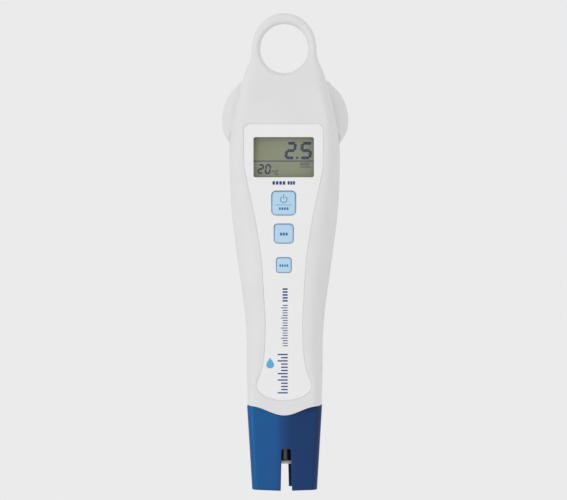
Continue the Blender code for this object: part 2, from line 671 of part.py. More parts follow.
def battery_cap(looks):
    """Rear cap of the head, with round ears, a tab for the lock screw and a spring contact."""
    heights = [CAP_SEAM_Z + GAP / 2, 132.6, 134.6, 137.5, 140.5, 144, 147.5, 150.9, 153, 154.8,
               156.1, 157]
    origin = (0.0, BATTERY_Y, CAP_SEAM_Z)
    cap = make("battery_cap", loft([cap_section(z) for z in heights]), looks["shell"], origin)
    combine(cap, "UNION", cutter("cap_tab_guide", tab_body()))
    ahead = box((-40, -40, 100), (40, PARTING_Y + GAP, 190))
    combine(cap, "DIFFERENCE", cutter("cap_front_guide", ahead))
    bore = turned(((CAP_BORE, 125), (CAP_BORE, CAP_BORE_TOP)), (0, BATTERY_Y), "Z", 28)
    combine(cap, "DIFFERENCE", cutter("cap_bore_guide", bore))
    for name, side in (("left", -1), ("right", 1)):
        pocket = turned(((5.2, 125), (5.2, 144), (4.2, 147)), (side * 15.4, 5.2), "Z", 20)
        combine(cap, "DIFFERENCE", cutter(f"ear_pocket_{name}", pocket))
    slot = rounded_rectangle(1.6, 8.0, 1.5, (0, SCREW_Z + 1.6 - 8.0), 4)
    combine(cap, "DIFFERENCE", cutter("cap_slot_guide", plate(slot, 10.0, 30.0)))
    channel = rounded_rectangle(3.75, 12.0, 3.6, (0, SCREW_Z + 3.75 - 12.0), 6)
    combine(cap, "DIFFERENCE", cutter("cap_channel_guide", plate(channel, CHANNEL_FLOOR_Y, 30.0)))
    disc = turned(((6.0, CAP_BORE_TOP - 0.8), (6.0, CAP_BORE_TOP - GAP)), (0, BATTERY_Y), "Z", 20)
    make("cap_contact", disc, looks["steel"], (0.0, BATTERY_Y, CAP_BORE_TOP))
    spring(looks["steel"])
    return cap


def spring(look):
    """Conical coil that presses on the cell's end."""
    turns, sides, steps = 4.0, 6, 12
    low, high = BATTERY_TOP + 0.75, CAP_BORE_TOP - 1.55
    count = int(turns * steps)
    rings = []
    for i in range(count + 1):
        share = i / count
        angle = 2 * pi * turns * share
        radius = 3.0 + 2.2 * share
        height = low + (high - low) * share
        ring = [((radius + a) * cos(angle), BATTERY_Y + (radius + a) * sin(angle), height + b)
                for a, b in circle(0.4, sides)]
        rings.append(ring)
    make("cap_spring", loft(rings), look, (0.0, BATTERY_Y, high))


def lock_screw(looks):
    """Coin-slotted screw that holds the cap's tab, and its washer."""
    axis = (0.0, SCREW_Z)
    near, far = SCREW_HEAD_Y
    shape = turned(((SCREW_SHANK, SCREW_TIP_Y), (SCREW_SHANK, near), (SCREW_HEAD, near),
                    (SCREW_HEAD, far - 0.3), (SCREW_HEAD - 0.3, far)), axis, "Y", 24)
    screw = make("lock_screw", shape, looks["steel"], (0.0, near, SCREW_Z))
    slot = box((-0.5, far - 0.7, SCREW_Z - 5), (0.5, far + 3, SCREW_Z + 5))
    combine(screw, "DIFFERENCE", cutter("coin_slot_guide", slot))
    ring = washer_shape(SCREW_SHANK + GAP, 3.0, *WASHER_Y, axis, "Y", 24)
    make("lock_screw_washer", ring, looks["rubber"], (0.0, near, SCREW_Z))


def casing_screws(look):
    """Screws that pull the two shells together."""
    for side in (-1, 1):
        for x, z, floor, tip in CASING_SCREWS:
            place = "lower" if z < 80 else "upper"
            name = f"casing_screw_{place}_{'left' if side < 0 else 'right'}"
            head = floor + GAP
            shape = turned(((1.05, tip), (1.05, head), (2.1, head), (2.1, head + 1.1),
                            (1.5, head + 1.6)), (side * x, z), "Y", 16)
            screw = make(name, shape, look, (side * x, head, z))
            for turn, (a, b) in enumerate(((0.3, 1.2), (1.2, 0.3))):
                cross = box((side * x - a, head + 0.9, z - b), (side * x + a, head + 5, z + b))
                combine(screw, "DIFFERENCE", cutter(f"{name}_cross_{turn}", cross))


# ---------------------------------------------------------------- probe and shroud

def ridged_section(z, size, inset=0.0):
    """Six-sided section with a blunt ridge at the front and at the back."""
    width, middle, edge = (value - inset for value in size)
    corners = ((0, -middle), (width, -edge), (width, edge), (0, middle), (-width, edge),
               (-width, -edge))
    radii = [RIDGE_RADIUS] + [EDGE_RADIUS - inset] * 2 + [RIDGE_RADIUS] + [EDGE_RADIUS - inset] * 2
    return [(x, y, z) for x, y in rounded_polygon(corners, radii)]


def shroud_size(z):
    """Half-width, ridge depth and edge depth of the shroud at a height."""
    share = z / SHROUD_TOP
    return [low + (high - low) * share for low, high in zip(SHROUD_BOTTOM_SIZE, SHROUD_TOP_SIZE)]


def probe_shroud(look):
    """Open sleeve round the probe, slotted front and back, with a wavy top edge."""
    outer = loft([ridged_section(z, shroud_size(z)) for z in (0, SHROUD_TOP + 2)])
    shroud = make("probe_shroud", outer, look)
    hollow = loft([ridged_section(z, shroud_size(z), SHROUD_WALL) for z in (-3, SHROUD_TOP + 5)])
    combine(shroud, "DIFFERENCE", cutter("shroud_hollow_guide", hollow))
    combine(shroud, "DIFFERENCE", shoulder_guide("shroud_top_guide", -GAP / 2, 60.0))
    half = SLOT_WIDTH / 2
    for name, side in (("front", -1), ("rear", 1)):
        outline = rounded_rectangle(half, 10, 0.8, (-side * SLOT_OFFSET, SLOT_TOP - 10), 2)
        slot = plate(outline, side * 3.0, side * 20.0)
        combine(shroud, "DIFFERENCE", cutter(f"{name}_slot_guide", slot))
    return shroud


def probe(looks):
    """Probe stem in its holder, with seals, end face, electrodes and sensor."""
    rings = []
    for z, inset in ((HOLDER_BOTTOM, 0.0), (SEAL_Z - 1.0, 0.0), (SEAL_Z - 1.0, 0.8),
                     (SEAL_Z + 1.0, 0.8), (SEAL_Z + 1.0, 0.0), (HOLDER_TOP, 0.0)):
        rings.append(ridged_section(z, HOLDER_SIZE, inset))
    holder = make("probe_holder", loft(rings), looks["inner"])
    bore = turned(((4.9, 10), (4.9, 24), (6.0, 24), (6.0, 26), (4.9, 26), (4.9, 50)), (0, 0), "Z", 24)
    combine(holder, "DIFFERENCE", cutter("holder_bore_guide", bore))
    outer = ridged_section(0, HOLDER_SIZE, -0.25)
    inner = ridged_section(0, HOLDER_SIZE, 0.55)
    sides = [[(xo, yo, SEAL_Z - 0.7), (xo, yo, SEAL_Z + 0.7), (xi, yi, SEAL_Z + 0.7),
              (xi, yi, SEAL_Z - 0.7)] for (xo, yo, _), (xi, yi, _) in zip(outer, inner)]
    make("holder_seal", loft(sides, closed=True), looks["rubber"])
    make("probe_seal_ring", round_ring(5.35, 0.55, 25.0, (0, 0), 24), looks["rubber"])
    tip_top = PROBE_END + 1.2
    stem = turned(((PROBE_RADIUS, tip_top + GAP), (PROBE_RADIUS, HOLDER_TOP + GAP),
                   (6.2, HOLDER_TOP + GAP), (6.2, HOLDER_TOP + 2.0), (5.0, HOLDER_TOP + 4.0)),
                  (0, 0), "Z", 24)
    stem = make("probe_stem", stem, looks["black"])
    core = turned(((2.6, 13.2), (2.6, 60)), (0, 0), "Z", 16)
    combine(stem, "DIFFERENCE", cutter("stem_core_guide", core))
    face = turned(((PROBE_RADIUS - 0.3, PROBE_END), (PROBE_RADIUS, PROBE_END + 0.3),
                   (PROBE_RADIUS, tip_top)), (0, 0), "Z", 24)
    face = make("probe_end_face", face, looks["face"])
    for name, side in (("left", -1), ("right", 1)):
        hole = turned(((1.2, 5), (1.2, 20)), (side * 2.2, 0), "Z", 14)
        combine(face, "DIFFERENCE", cutter(f"electrode_hole_{name}", hole))
        pin = turned(((0.8, PROBE_END - 0.2), (0.95, PROBE_END), (0.95, tip_top)),
                     (side * 2.2, 0), "Z", 14)
        make(f"electrode_{name}", pin, looks["graphite"])
    bead = turned(((0.7, 13.6), (1.2, 14.1), (1.2, 18.0), (0.7, 18.5)), (0, 0), "Z", 12)
    make("temperature_sensor", bead, looks["cell"])
    wire("probe_cable", ((0, 0, 19.0), (0, 0, 32.0), (0, 0, 47.0), (0, -0.3, 56.0),
                         (0, -3.0, 62.0), (0, -6.6, 66.0)), 0.9, looks["black"])


def build():
    """The whole pen."""
    for old in list(bpy.data.objects):
        bpy.data.objects.remove(old, do_unlink=True)
    looks = {
        "shell": material("shell_white", (0.74, 0.74, 0.75), 0.42),
        "inner": material("inner_plastic", (0.6, 0.62, 0.63), 0.5),
        "label": material("label_white", (0.84, 0.84, 0.84), 0.35),
        "lens": material("lens_clear", (0.95, 0.95, 0.95), 0.05, clear=1.0),
        "lcd": material("lcd_green", (0.27, 0.3, 0.23), 0.25),
        "reflector": material("reflector_silver", (0.7, 0.7, 0.66), 0.4, 0.6),
        "black": material("black_plastic", (0.015, 0.015, 0.017), 0.3),
        "rubber": material("seal_rubber", (0.05, 0.05, 0.055), 0.75),
        "board": material("board_green", (0.03, 0.18, 0.07), 0.45),
        "steel": material("plated_steel", (0.62, 0.62, 0.63), 0.28, 1.0),
        "cell": material("cell_sleeve", (0.32, 0.27, 0.12), 0.35, 0.3),
        "red": material("wire_red", (0.5, 0.02, 0.02), 0.5),
        "key": material("key_blue", (0.36, 0.66, 0.84), 0.35),
        "shroud": material("shroud_blue", (0.012, 0.085, 0.27), 0.38),
        "face": material("probe_face", (0.55, 0.55, 0.57), 0.4),
        "graphite": material("graphite", (0.07, 0.07, 0.075), 0.45, 0.4),
    }
    front_housing(looks["shell"])
    rear_housing(looks["shell"])
    housing_gasket(looks["rubber"])
    label_overlay(looks["label"])
    display(looks)
    main_board(looks)
    keypad_mat(looks["rubber"])
    for name, z, side in KEYS:
        key(name, z, side, looks["key"])
    battery(looks)
    battery_cap(looks)
    lock_screw(looks)
    casing_screws(looks["steel"])
    probe(looks)
    probe_shroud(looks["shroud"])


build()
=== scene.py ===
"""Looks of the pocket conductivity pen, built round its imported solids.

Shapes are worked out in millimetres in the pen's own frame and written to the scene in
metres.  The display and the keys face -Y, the battery cap and its lock screw face +Y.
"""

import json
from math import acos, asin, cos, pi, radians, sin, sqrt, tan

import bmesh
import bpy
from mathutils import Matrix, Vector


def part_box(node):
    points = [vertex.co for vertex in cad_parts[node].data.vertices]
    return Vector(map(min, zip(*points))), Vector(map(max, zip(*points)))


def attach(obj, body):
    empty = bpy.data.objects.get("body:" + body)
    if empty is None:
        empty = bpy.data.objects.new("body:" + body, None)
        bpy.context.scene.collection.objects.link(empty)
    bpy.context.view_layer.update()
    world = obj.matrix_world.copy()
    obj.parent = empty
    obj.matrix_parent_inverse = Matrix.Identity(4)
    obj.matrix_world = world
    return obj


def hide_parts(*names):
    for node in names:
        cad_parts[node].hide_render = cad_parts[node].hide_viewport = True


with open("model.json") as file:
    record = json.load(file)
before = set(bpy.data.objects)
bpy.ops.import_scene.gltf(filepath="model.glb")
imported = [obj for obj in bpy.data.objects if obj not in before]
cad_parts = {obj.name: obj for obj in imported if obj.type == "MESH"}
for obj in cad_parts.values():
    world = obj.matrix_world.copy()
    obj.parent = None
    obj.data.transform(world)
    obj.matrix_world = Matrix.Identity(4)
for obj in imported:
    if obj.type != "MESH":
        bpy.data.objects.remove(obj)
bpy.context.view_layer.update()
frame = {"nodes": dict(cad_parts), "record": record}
MM = 0.001


def node_box(node):
    """Lowest and highest corner of a solid, in millimetres."""
    low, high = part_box(node)
    return Vector(low) / MM, Vector(high) / MM


# Casing, as (height, value) points that a smooth curve joins.
HALF_WIDTH = (
    (24, 14.1), (34, 14.1), (46, 14.4), (56, 14.5), (66, 15.1), (79, 16.8), (95, 19.0), (107, 20.3),
    (120, 20.9), (127, 21.0), (133, 20.7), (138, 20.0), (144, 18.8), (150.6, 16.9), (155.2, 15.6),
    (158.3, 14.5), (162, 12.9), (164.4, 12.33), (166.6, 12.21), (168, 12.21))
FRONT_DEPTH = (
    (24, 11.4), (34, 11.5), (50, 11.8), (65, 12.6), (80, 13.9), (95, 15.0), (110, 16.0), (125, 16.8),
    (133, 17.0), (140, 16.6), (147, 15.4), (152, 14.0), (157, 12.8), (162, 12.0), (168, 11.75),
    (180, 11.75))
REAR_DEPTH = (
    (24, 11.4), (34, 11.5), (50, 11.8), (65, 12.6), (80, 13.8), (95, 15.0), (110, 16.1), (120, 16.5),
    (131, 16.8), (145, 16.8))
WIDEST_Y = ((24, 0.0), (140, 0.0), (150, -4.5), (157, -8.6), (169, -9.1))
FLAT_FRONT = (
    (24, 9.6), (36, 10.2), (40, 10.9), (44, 9.9), (48, 8.8), (55, 8.0), (63, 7.8), (77, 8.6),
    (87, 9.3), (94, 10.2), (101, 11.3), (108, 12.7), (116, 14.4), (124, 15.6), (138, 15.4),
    (147, 13.6), (157, 10.8), (162, 10.7), (166.6, 10.61), (168, 10.61))
REAR_ROUNDING = ((24, 4.5), (45, 4.5), (75, 2.7), (131, 2.5), (145, 2.5))
CORNER_ROUNDING = 2.3
WALL = 2.0
GAP = 0.3
PARTING_Y = -6.0
CAP_SEAM_Z = 131.0
CAVITY_TOP = 128.7
PARTING_FILLET = 0.25
FOOT_FILLET = 0.3

# Hanging loop: half axes of its hole, of the crest of its band and of its outline.
LOOP_Z = 166.6
HOLE_AXES = (9.06, 9.25)
CREST_AXES = (10.61, 11.3)
OUTLINE_AXES = (12.21, 13.4)
LOOP_REAR_Y = -6.5
REAR_EDGE = ((24, 0.25), (150, 0.25), (157, 1.5), (166.6, 1.6), (168, 1.6))
REAR_PLANE = ((150, -6.15), (154, -6.25), (158, LOOP_REAR_Y), (180, LOOP_REAR_Y))

# Label sheet in its recess.
LABEL_TOP = 137.8
LABEL_BOTTOM = 34.2
LABEL_FOOT_Z = 40.0
LABEL_CORNER = 2.6
LABEL_HALF_WIDTH = (
    (38, 10.5), (40, 10.5), (43.2, 9.3), (48, 7.9), (54.7, 7.2), (63, 7.0), (71, 7.4), (77, 7.7),
    (87, 8.4), (94.3, 9.4), (101, 10.5), (108, 11.9), (116, 13.6), (124, 14.9), (138, 14.9))
RECESS_DEPTH = 0.9
LABEL_FRONT = 0.3
LABEL_BACK = 0.6

# Display window and panel, from their solids.
LENS_LOW, LENS_HIGH = node_box("display_lens")
PANEL_LOW, PANEL_HIGH = node_box("lcd_panel")
WINDOW_Z = (LENS_LOW.z + LENS_HIGH.z) / 2
WINDOW_HALF_X = (LENS_HIGH.x - LENS_LOW.x - 1.0) / 2
WINDOW_HALF_Z = (LENS_HIGH.z - LENS_LOW.z - 1.0) / 2

# Keys: name, height of the centre, side.
KEYS = (("power", 108.3, 9.2), ("cal", 96.9, 7.4), ("units", 85.1, 5.8))
KEY_PROUD = 0.35
KEY_LIP = 0.6
KEY_TIP_Y = -11.0
PLUNGER_HALF = 1.8

# Battery tube, battery cap and its lock screw.
BATTERY_Y = 3.5
TUBE_BORE = 5.6
TUBE_RADIUS = 6.5
NECK_RADIUS = 7.4
NECK_BOTTOM = 129.25
CAP_BORE = 7.75
CAP_BORE_TOP = 143.0
CAP_HALF_WIDTH = (
    (131, 20.8), (132.6, 21.8), (134.6, 23.0), (137.5, 24.0), (140.5, 24.2), (144, 23.8),
    (147.5, 22.7), (150.9, 20.7), (154, 17.6))
CAP_REAR = (
    (131, 16.8), (137.5, 17.0), (141, 16.8), (144, 16.1), (147.5, 14.8), (150.9, 12.8), (154, 10.0))
CAP_FRONT = ((131, 17.0), (134, 11.5), (138, 8.0), (144, 6.6), (150, 6.4), (154, 5.6))
CAP_FRONT_ROUNDING = ((131, 4.0), (138, 2.3))
CAP_WIDEST_Y = ((131, 0.0), (134, 1.8), (140, 4.6), (150, 4.0), (157, 1.4))
CAP_DOME_Z = 154.0
CAP_TOP = 157.0
TAB_HALF_WIDTH = 7.0
TAB_BOTTOM = 110.0
TAB_INNER_Y = 12.9
SCREW_Z = 117.5
SCREW_SHANK = 1.2
SCREW_HEAD = 3.3
SCREW_HEAD_Y = (15.7, 16.9)
WASHER_Y = (14.9, 15.4)
CHANNEL_FLOOR_Y = 14.6
# Casing screws: x and z of the axis, floor under the head, depth of the tip.
CASING_SCREWS = [(side * x, z, floor, tip) for side in (-1, 1)
                 for x, z, floor, tip in ((8.0, 54.0, 5.5, -10.2), (12.6, 100.0, 7.0, -11.6))]
CASING_BOSS = 2.6

# Probe shroud, probe and holder.
SHROUD_TOP = 31.9
SHROUD_DIP = 3.4
SHROUD_DIP_HALF = 12.5
SHROUD_BOTTOM_SIZE = (12.3, 9.9, 5.6)
SHROUD_TOP_SIZE = (14.2, 11.6, 7.0)
SHROUD_WALL = 1.6
RIDGE_RADIUS = 9.0
EDGE_RADIUS = 3.4
SLOT_WIDTH = 3.5
SLOT_TOP = 15.9
SLOT_OFFSET = 0.8
SLOT_FLARE = 0.014
HOLDER_SIZE = (11.4, 8.9, 4.7)
SEAL_Z = 37.0
PROBE_RADIUS = 4.6


# ---- numbers

def smooth(points, at):
    """Value at a height on the smooth, overshoot-free curve through the points."""
    if at <= points[0][0]:
        return points[0][1]
    if at >= points[-1][0]:
        return points[-1][1]
    steps = list(zip(points, points[1:]))
    slopes = [(b[1] - a[1]) / (b[0] - a[0]) for a, b in steps]
    tangents = [slopes[0]]
    for before, after in zip(slopes, slopes[1:]):
        same_way = before * after > 0
        tangents.append(2 * before * after / (before + after) if same_way else 0.0)
    tangents.append(slopes[-1])
    index = next(i for i, (a, b) in enumerate(steps) if a[0] <= at <= b[0])
    (z0, v0), (z1, v1) = steps[index]
    span = z1 - z0
    t = (at - z0) / span
    ease = t * t * (3 - 2 * t)
    lead = t * (1 - t) ** 2 * tangents[index] - t * t * (1 - t) * tangents[index + 1]
    return v0 + ease * (v1 - v0) + span * lead


def spaced(low, high, count):
    """Evenly spaced values from low to high, both included."""
    return [low + (high - low) * i / (count - 1) for i in range(count)]


def quarter(count):
    """Angles from 0 to a quarter turn."""
    return spaced(0.0, pi / 2, count)


def fade(low, high, at):
    """Smooth step from 0 at low to 1 at high."""
    t = min(max((at - low) / (high - low), 0.0), 1.0)
    return t * t * (3 - 2 * t)


def round_over(share, power=2.0):
    """Height share of a rounded edge, from 0 at its rim to 1 where it meets the face."""
    share = min(max(share, 0.0), 1.0)
    return (1 - (1 - share) ** power) ** (1 / power)


def even(points, count):
    """Points respaced evenly along the closed line through them."""
    line = [Vector(p) for p in points + points[:1]]
    reach = [0.0]
    for a, b in zip(line, line[1:]):
        reach.append(reach[-1] + (b - a).length)
    result = []
    index = 0
    for i in range(count):
        wanted = reach[-1] * i / count
        while index < len(line) - 2 and reach[index + 1] < wanted:
            index += 1
        span = reach[index + 1] - reach[index]
        share = (wanted - reach[index]) / span if span else 0.0
        result.append(line[index].lerp(line[index + 1], share))
    return result


# ---- materials

class Look:
    """Principled material under construction, in the object's own coordinates."""

    def __init__(self, name, roughness, metallic=0.0, **constants):
        self.material = bpy.data.materials.new(name)
        self.material.use_nodes = True
        self.nodes = self.material.node_tree.nodes
        self.links = self.material.node_tree.links
        self.shader = self.nodes["Principled BSDF"]
        self.place = self.nodes.new("ShaderNodeTexCoord").outputs["Object"]
        for label, value in dict(constants, Roughness=roughness, Metallic=metallic).items():
            self.shader.inputs[label.replace("_", " ")].default_value = value

    def node(self, kind, output, inputs, **settings):
        """Output of a new shader node, given its inputs as constants or other nodes' outputs."""
        node = self.nodes.new(f"ShaderNode{kind}")
        for name, value in settings.items():
            setattr(node, name, value)
        for label, value in inputs.items():
            if isinstance(value, bpy.types.NodeSocket):
                self.links.new(value, node.inputs[label])
            else:
                node.inputs[label].default_value = value
        return node.outputs[output]

    def noise(self, size_mm, detail=3.0, stretch=(1.0, 1.0, 1.0)):
        """Fractal noise whose grain is about the given size."""
        scale = [1.0 / (size_mm * MM * s) for s in stretch]
        place = self.node("Mapping", "Vector", {"Scale": scale, "Vector": self.place})
        return self.node("TexNoise", "Fac", {"Scale": 1.0, "Detail": detail, "Vector": place})

    def math(self, operation, *values):
        """Output of a math node whose inputs are outputs or numbers."""
        return self.node("Math", "Value", dict(enumerate(values)), operation=operation)

    def colour(self, value, first, second):
        """Base colour that goes from first to second with the value."""
        ramp = self.nodes.new("ShaderNodeValToRGB")
        for element, place, shown in zip(ramp.color_ramp.elements, (0.3, 0.7), (first, second)):
            element.position = place
            element.color = (*shown, 1.0)
        self.links.new(value, ramp.inputs["Fac"])
        self.links.new(ramp.outputs["Color"], self.shader.inputs["Base Color"])

    def rough(self, value, low, high):
        """Roughness that varies between two values."""
        spread = self.node("MapRange", "Result", {"Value": value, "From Min": 0.3, "From Max": 0.7,
                                                  "To Min": low, "To Max": high})
        self.links.new(spread, self.shader.inputs["Roughness"])

    def bump(self, value, height_mm, strength):
        """Fine relief."""
        normal = self.node("Bump", "Normal", {"Strength": strength, "Distance": height_mm * MM,
                                              "Height": value})
        self.links.new(normal, self.shader.inputs["Normal"])


def shade(colour, share):
    """Colour made lighter or darker."""
    return tuple(min(max(c * share, 0.0), 1.0) for c in colour)


def moulded(name, colour, roughness, grain=0.35, relief=0.004, drift=0.015, gloss=0.5, **constants):
    """Moulded plastic or rubber: slow colour drift, uneven gloss and a fine spark texture."""
    look = Look(name, roughness, Specular_IOR_Level=gloss, **constants)
    look.colour(look.noise(9.0), shade(colour, 1 - drift), shade(colour, 1 + drift))
    look.rough(look.noise(2.5, 4.0), roughness - 0.04, roughness + 0.04)
    look.bump(look.noise(grain, 2.0), relief, 0.35)
    return look.material


def brushed(name, colour, roughness, stretch):
    """Plated or machined metal with fine lines along one direction."""
    look = Look(name, roughness, 1.0)
    lines = look.noise(0.25, 3.0, stretch)
    look.colour(look.noise(1.6), shade(colour, 0.9), shade(colour, 1.05))
    look.rough(lines, roughness - 0.07, roughness + 0.12)
    look.bump(lines, 0.004, 0.3)
    return look.material


WHITE = (0.765, 0.76, 0.772)
# Keys' silicone: its own light blue, and a darker blue painted at the rim as shade of the rounded
# edges.
KEY_LIGHT = (0.47, 0.69, 0.86)
KEY_RIM_PAINTED_SHADE = (0.27, 0.47, 0.77)


def key_silicone_painted_rim_shade(name, z, half):
    """Translucent blue silicone, with painted shade darkening it towards the key's rim."""
    look = Look(f"key_silicone_painted_rim_shade_{name}", 0.45)
    x_place, z_place = (look.node("SeparateXYZ", axis, {"Vector": look.place}) for axis in "XZ")
    across = look.math("ABSOLUTE", x_place)
    along = look.math("ABSOLUTE", look.math("SUBTRACT", z_place, z * MM))
    reach = look.math("MULTIPLY", look.math("MAXIMUM", across, along), 1 / (half * MM))
    grain = look.math("MULTIPLY", look.noise(0.8), 0.16)
    # painted shade: the colour darkens towards the key's rim, standing in for the shade on its rounded
    # edges
    rim = look.math("SUBTRACT", look.math("POWER", look.math("ADD", reach, grain), 7.0), 0.35)
    look.colour(rim, KEY_LIGHT, KEY_RIM_PAINTED_SHADE)
    look.rough(look.noise(2.5, 4.0), 0.41, 0.49)
    look.bump(look.noise(0.3, 2.0), 0.003, 0.35)
    return look.material


LOOKS = {
    "shell_white": moulded("shell_plastic", WHITE, 0.52, gloss=0.35),
    "inner_plastic": moulded("inner_plastic", (0.6, 0.62, 0.63), 0.5),
    "label_white": moulded("label_sheet_finish", (0.86, 0.86, 0.863), 0.5, 0.8, 0.002, 0.006),
    "lens_clear": moulded("window_finish", (0.9, 0.92, 0.9), 0.08, 1.5, 0.001, 0.01, 0.15, Alpha=0.03),
    "lcd_green": moulded("panel_finish", (0.245, 0.265, 0.168), 0.5, 0.5, 0.001, 0.03, 0.15),
    "reflector_silver": brushed("reflector_foil", (0.7, 0.7, 0.66), 0.4, (1, 1, 20)),
    "black_plastic": moulded("black_plastic", (0.014, 0.014, 0.016), 0.22, 0.5, 0.002, 0.1, 1.0),
    "seal_rubber": moulded("seal_rubber", (0.035, 0.035, 0.038), 0.7, 0.3, 0.01, 0.1),
    "board_green": moulded("board_mask", (0.03, 0.18, 0.07), 0.42, 0.6, 0.01, 0.2),
    "plated_steel": brushed("plated_steel", (0.62, 0.62, 0.63), 0.26, (12, 12, 1)),
    "cell_sleeve": moulded("cell_sleeve", (0.32, 0.27, 0.12), 0.3, 0.6, 0.002, 0.08),
    "wire_red": moulded("wire_red", (0.5, 0.02, 0.02), 0.45, 0.4, 0.003, 0.06),
    "shroud_blue": moulded("shroud_plastic", (0.017, 0.036, 0.117), 0.45, 0.4, 0.004, 0.03, 0.2,
                           Specular_Tint=(0.2, 0.6, 1.0, 1.0)),
    "probe_face": moulded("probe_ceramic", (0.93, 0.94, 0.96), 0.35, 0.3, 0.003, 0.04),
    "graphite": moulded("graphite", (0.06, 0.06, 0.065), 0.42, 0.2, 0.004, 0.15),
}
INK = moulded("printed_ink", (0.012, 0.05, 0.22), 0.4, 0.3, 0.002, 0.06)
SEGMENT = moulded("display_segment", (0.012, 0.022, 0.10), 0.5, 0.4, 0.001, 0.05, 0.15)
SEGMENT_PALE = moulded("display_unit_mark", (0.055, 0.07, 0.13), 0.5, 0.4, 0.001, 0.05, 0.15)
KEY_MARK = moulded("key_mark", (0.10, 0.33, 0.56), 0.4, 0.3, 0.002, 0.05)
KEY_INK = moulded("key_ink", (0.02, 0.13, 0.36), 0.4, 0.3, 0.002, 0.05)
DROP_LIGHT = moulded("drop_light_blue", (0.09, 0.42, 0.70), 0.4, 0.3, 0.002, 0.05)


# ---- meshes

def mesh_object(name, bm):
    """Smooth shaded object from a bmesh in millimetres."""
    bmesh.ops.recalc_face_normals(bm, faces=bm.faces)
    bmesh.ops.scale(bm, verts=bm.verts, vec=(MM, MM, MM))
    mesh = bpy.data.meshes.new(name)
    bm.to_mesh(mesh)
    bm.free()
    result = bpy.data.objects.new(name, mesh)
    bpy.context.scene.collection.objects.link(result)
    return result


def combined(name, bm, steps):
    """Object of a bmesh after exact Booleans: a bmesh is cut away, ("UNION", bmesh) is added."""
    result = mesh_object(name, bm)
    guides = []
    for number, guide_bm in enumerate(steps):
        step = result.modifiers.new(f"step_{number}", "BOOLEAN")
        step.operation = "DIFFERENCE"
        if isinstance(guide_bm, tuple):
            step.operation, guide_bm = guide_bm
        step.solver = "EXACT"
        step.object = mesh_object(f"guide_{number}", guide_bm)
        guides.append(step.object)
    graph = bpy.context.evaluated_depsgraph_get()
    final = bpy.data.meshes.new_from_object(result.evaluated_get(graph))
    result.modifiers.clear()
    result.data = final
    for guide in guides:
        bpy.data.objects.remove(guide, do_unlink=True)
    return result


def finished(obj, look, body, sharp=32.0):
    """Shading, material and body of a piece."""
    obj.data.materials.clear()
    obj.data.materials.append(look)
    obj.data.shade_smooth()
    obj.data.set_sharp_from_angle(angle=radians(sharp))
    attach(obj, body)


def part(name, bm, slot, node, steps=(), body="casing", look=None, sharp=32.0):
    """Piece that stands for a solid, with the look of its material slot."""
    obj = combined(name, bm, steps) if steps else mesh_object(name, bm)
    finished(obj, look or LOOKS[slot], body, sharp)
    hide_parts(node)


def loft(rings, closed=False):
    """Solid skinned over rings of equal length; closed joins the last to the first."""
    bm = bmesh.new()
    loops = [[bm.verts.new(point) for point in ring] for ring in rings]
    pairs = list(zip(loops, loops[1:]))
    if closed:
        pairs.append((loops[-1], loops[0]))
    else:
        bm.faces.new(loops[0])
        bm.faces.new(loops[-1])
    for low, high in pairs:
        for i in range(len(low)):
            j = (i + 1) % len(low)
            bm.faces.new((low[i], low[j], high[j], high[i]))
    bent = [face for face in bm.faces if len(face.verts) == 4]
    bmesh.ops.triangulate(bm, faces=bent)
    return bm


def box(low, high):
    """Box between two corners."""
    (x0, y0, z0), (x1, y1, z1) = low, high
    rings = [[(x0, y0, z), (x1, y0, z), (x1, y1, z), (x0, y1, z)] for z in (z0, z1)]
    return loft(rings)


def circle(radius, count=64):
    """Points of a circle about the origin, anticlockwise."""
    return [(radius * cos(2 * pi * i / count), radius * sin(2 * pi * i / count))
            for i in range(count)]


def about(centre, along, u, v, place):
    """Point at an offset from an axis along Z or Y, at a place along it."""
    across, other = centre[0] + u, centre[1] + v
    return (across, other, place) if along == "Z" else (across, place, other)


def turned(profile, centre, along="Z", count=64):
    """Solid of revolution from (radius, position) points, about an axis along Z or Y."""
    return loft([[about(centre, along, u, v, place) for u, v in circle(radius, count)]
                 for radius, place in profile])


def softened(profile, radius=0.15, steps=3):
    """Profile of (radius, position) points with its corners rounded."""
    result = [profile[0]]
    for before, here, after in zip(profile, profile[1:], profile[2:]):
        here_v = Vector(here)
        back = Vector(before) - here_v
        ahead = Vector(after) - here_v
        reach = min(radius, back.length * 0.45, ahead.length * 0.45)
        start = here_v + back.normalized() * reach
        end = here_v + ahead.normalized() * reach
        for t in spaced(0.0, 1.0, steps + 1):
            point = start.lerp(here_v, t).lerp(here_v.lerp(end, t), t)
            result.append((point.x, point.y))
    return result + [profile[-1]]


def ring_of(section, centre, along="Z", count=64):
    """Closed ring swept round an axis from a closed section of (radius, position) points."""
    return loft([[about(centre, along, radius * u, radius * v, place) for radius, place in section]
                 for u, v in circle(1.0, count)], closed=True)


def rounded_polygon(corners, radii, steps=8):
    """Convex outline whose corners are replaced by arcs of the given radii."""
    outline = []
    count = len(corners)
    for i, corner in enumerate(corners):
        here = Vector(corner)
        back = (Vector(corners[i - 1]) - here).normalized()
        ahead = (Vector(corners[(i + 1) % count]) - here).normalized()
        half_angle = back.angle(ahead) / 2
        bisector = (back + ahead).normalized()
        centre = here + bisector * radii[i] / sin(half_angle)
        start = here + back * radii[i] / tan(half_angle) - centre
        end = here + ahead * radii[i] / tan(half_angle) - centre
        sweep = start.angle_signed(end)
        for k in range(steps + 1):
            turn = -sweep * k / steps
            x = start.x * cos(turn) - start.y * sin(turn)
            y = start.x * sin(turn) + start.y * cos(turn)
            outline.append((centre.x + x, centre.y + y))
    return outline


def rounded(half_x, half_z, radius, centre=(0.0, 0.0), steps=6):
    """Rectangle with round corners, as (x, z) points."""
    corners = ((-half_x, -half_z), (half_x, -half_z), (half_x, half_z), (-half_x, half_z))
    outline = rounded_polygon(corners, [radius] * 4, steps)
    return [(centre[0] + x, centre[1] + z) for x, z in outline]


def plate(outline, front, back):
    """Flat piece of an (x, z) outline between two depths."""
    return loft([[(x, y, z) for x, z in outline] for y in (front, back)])


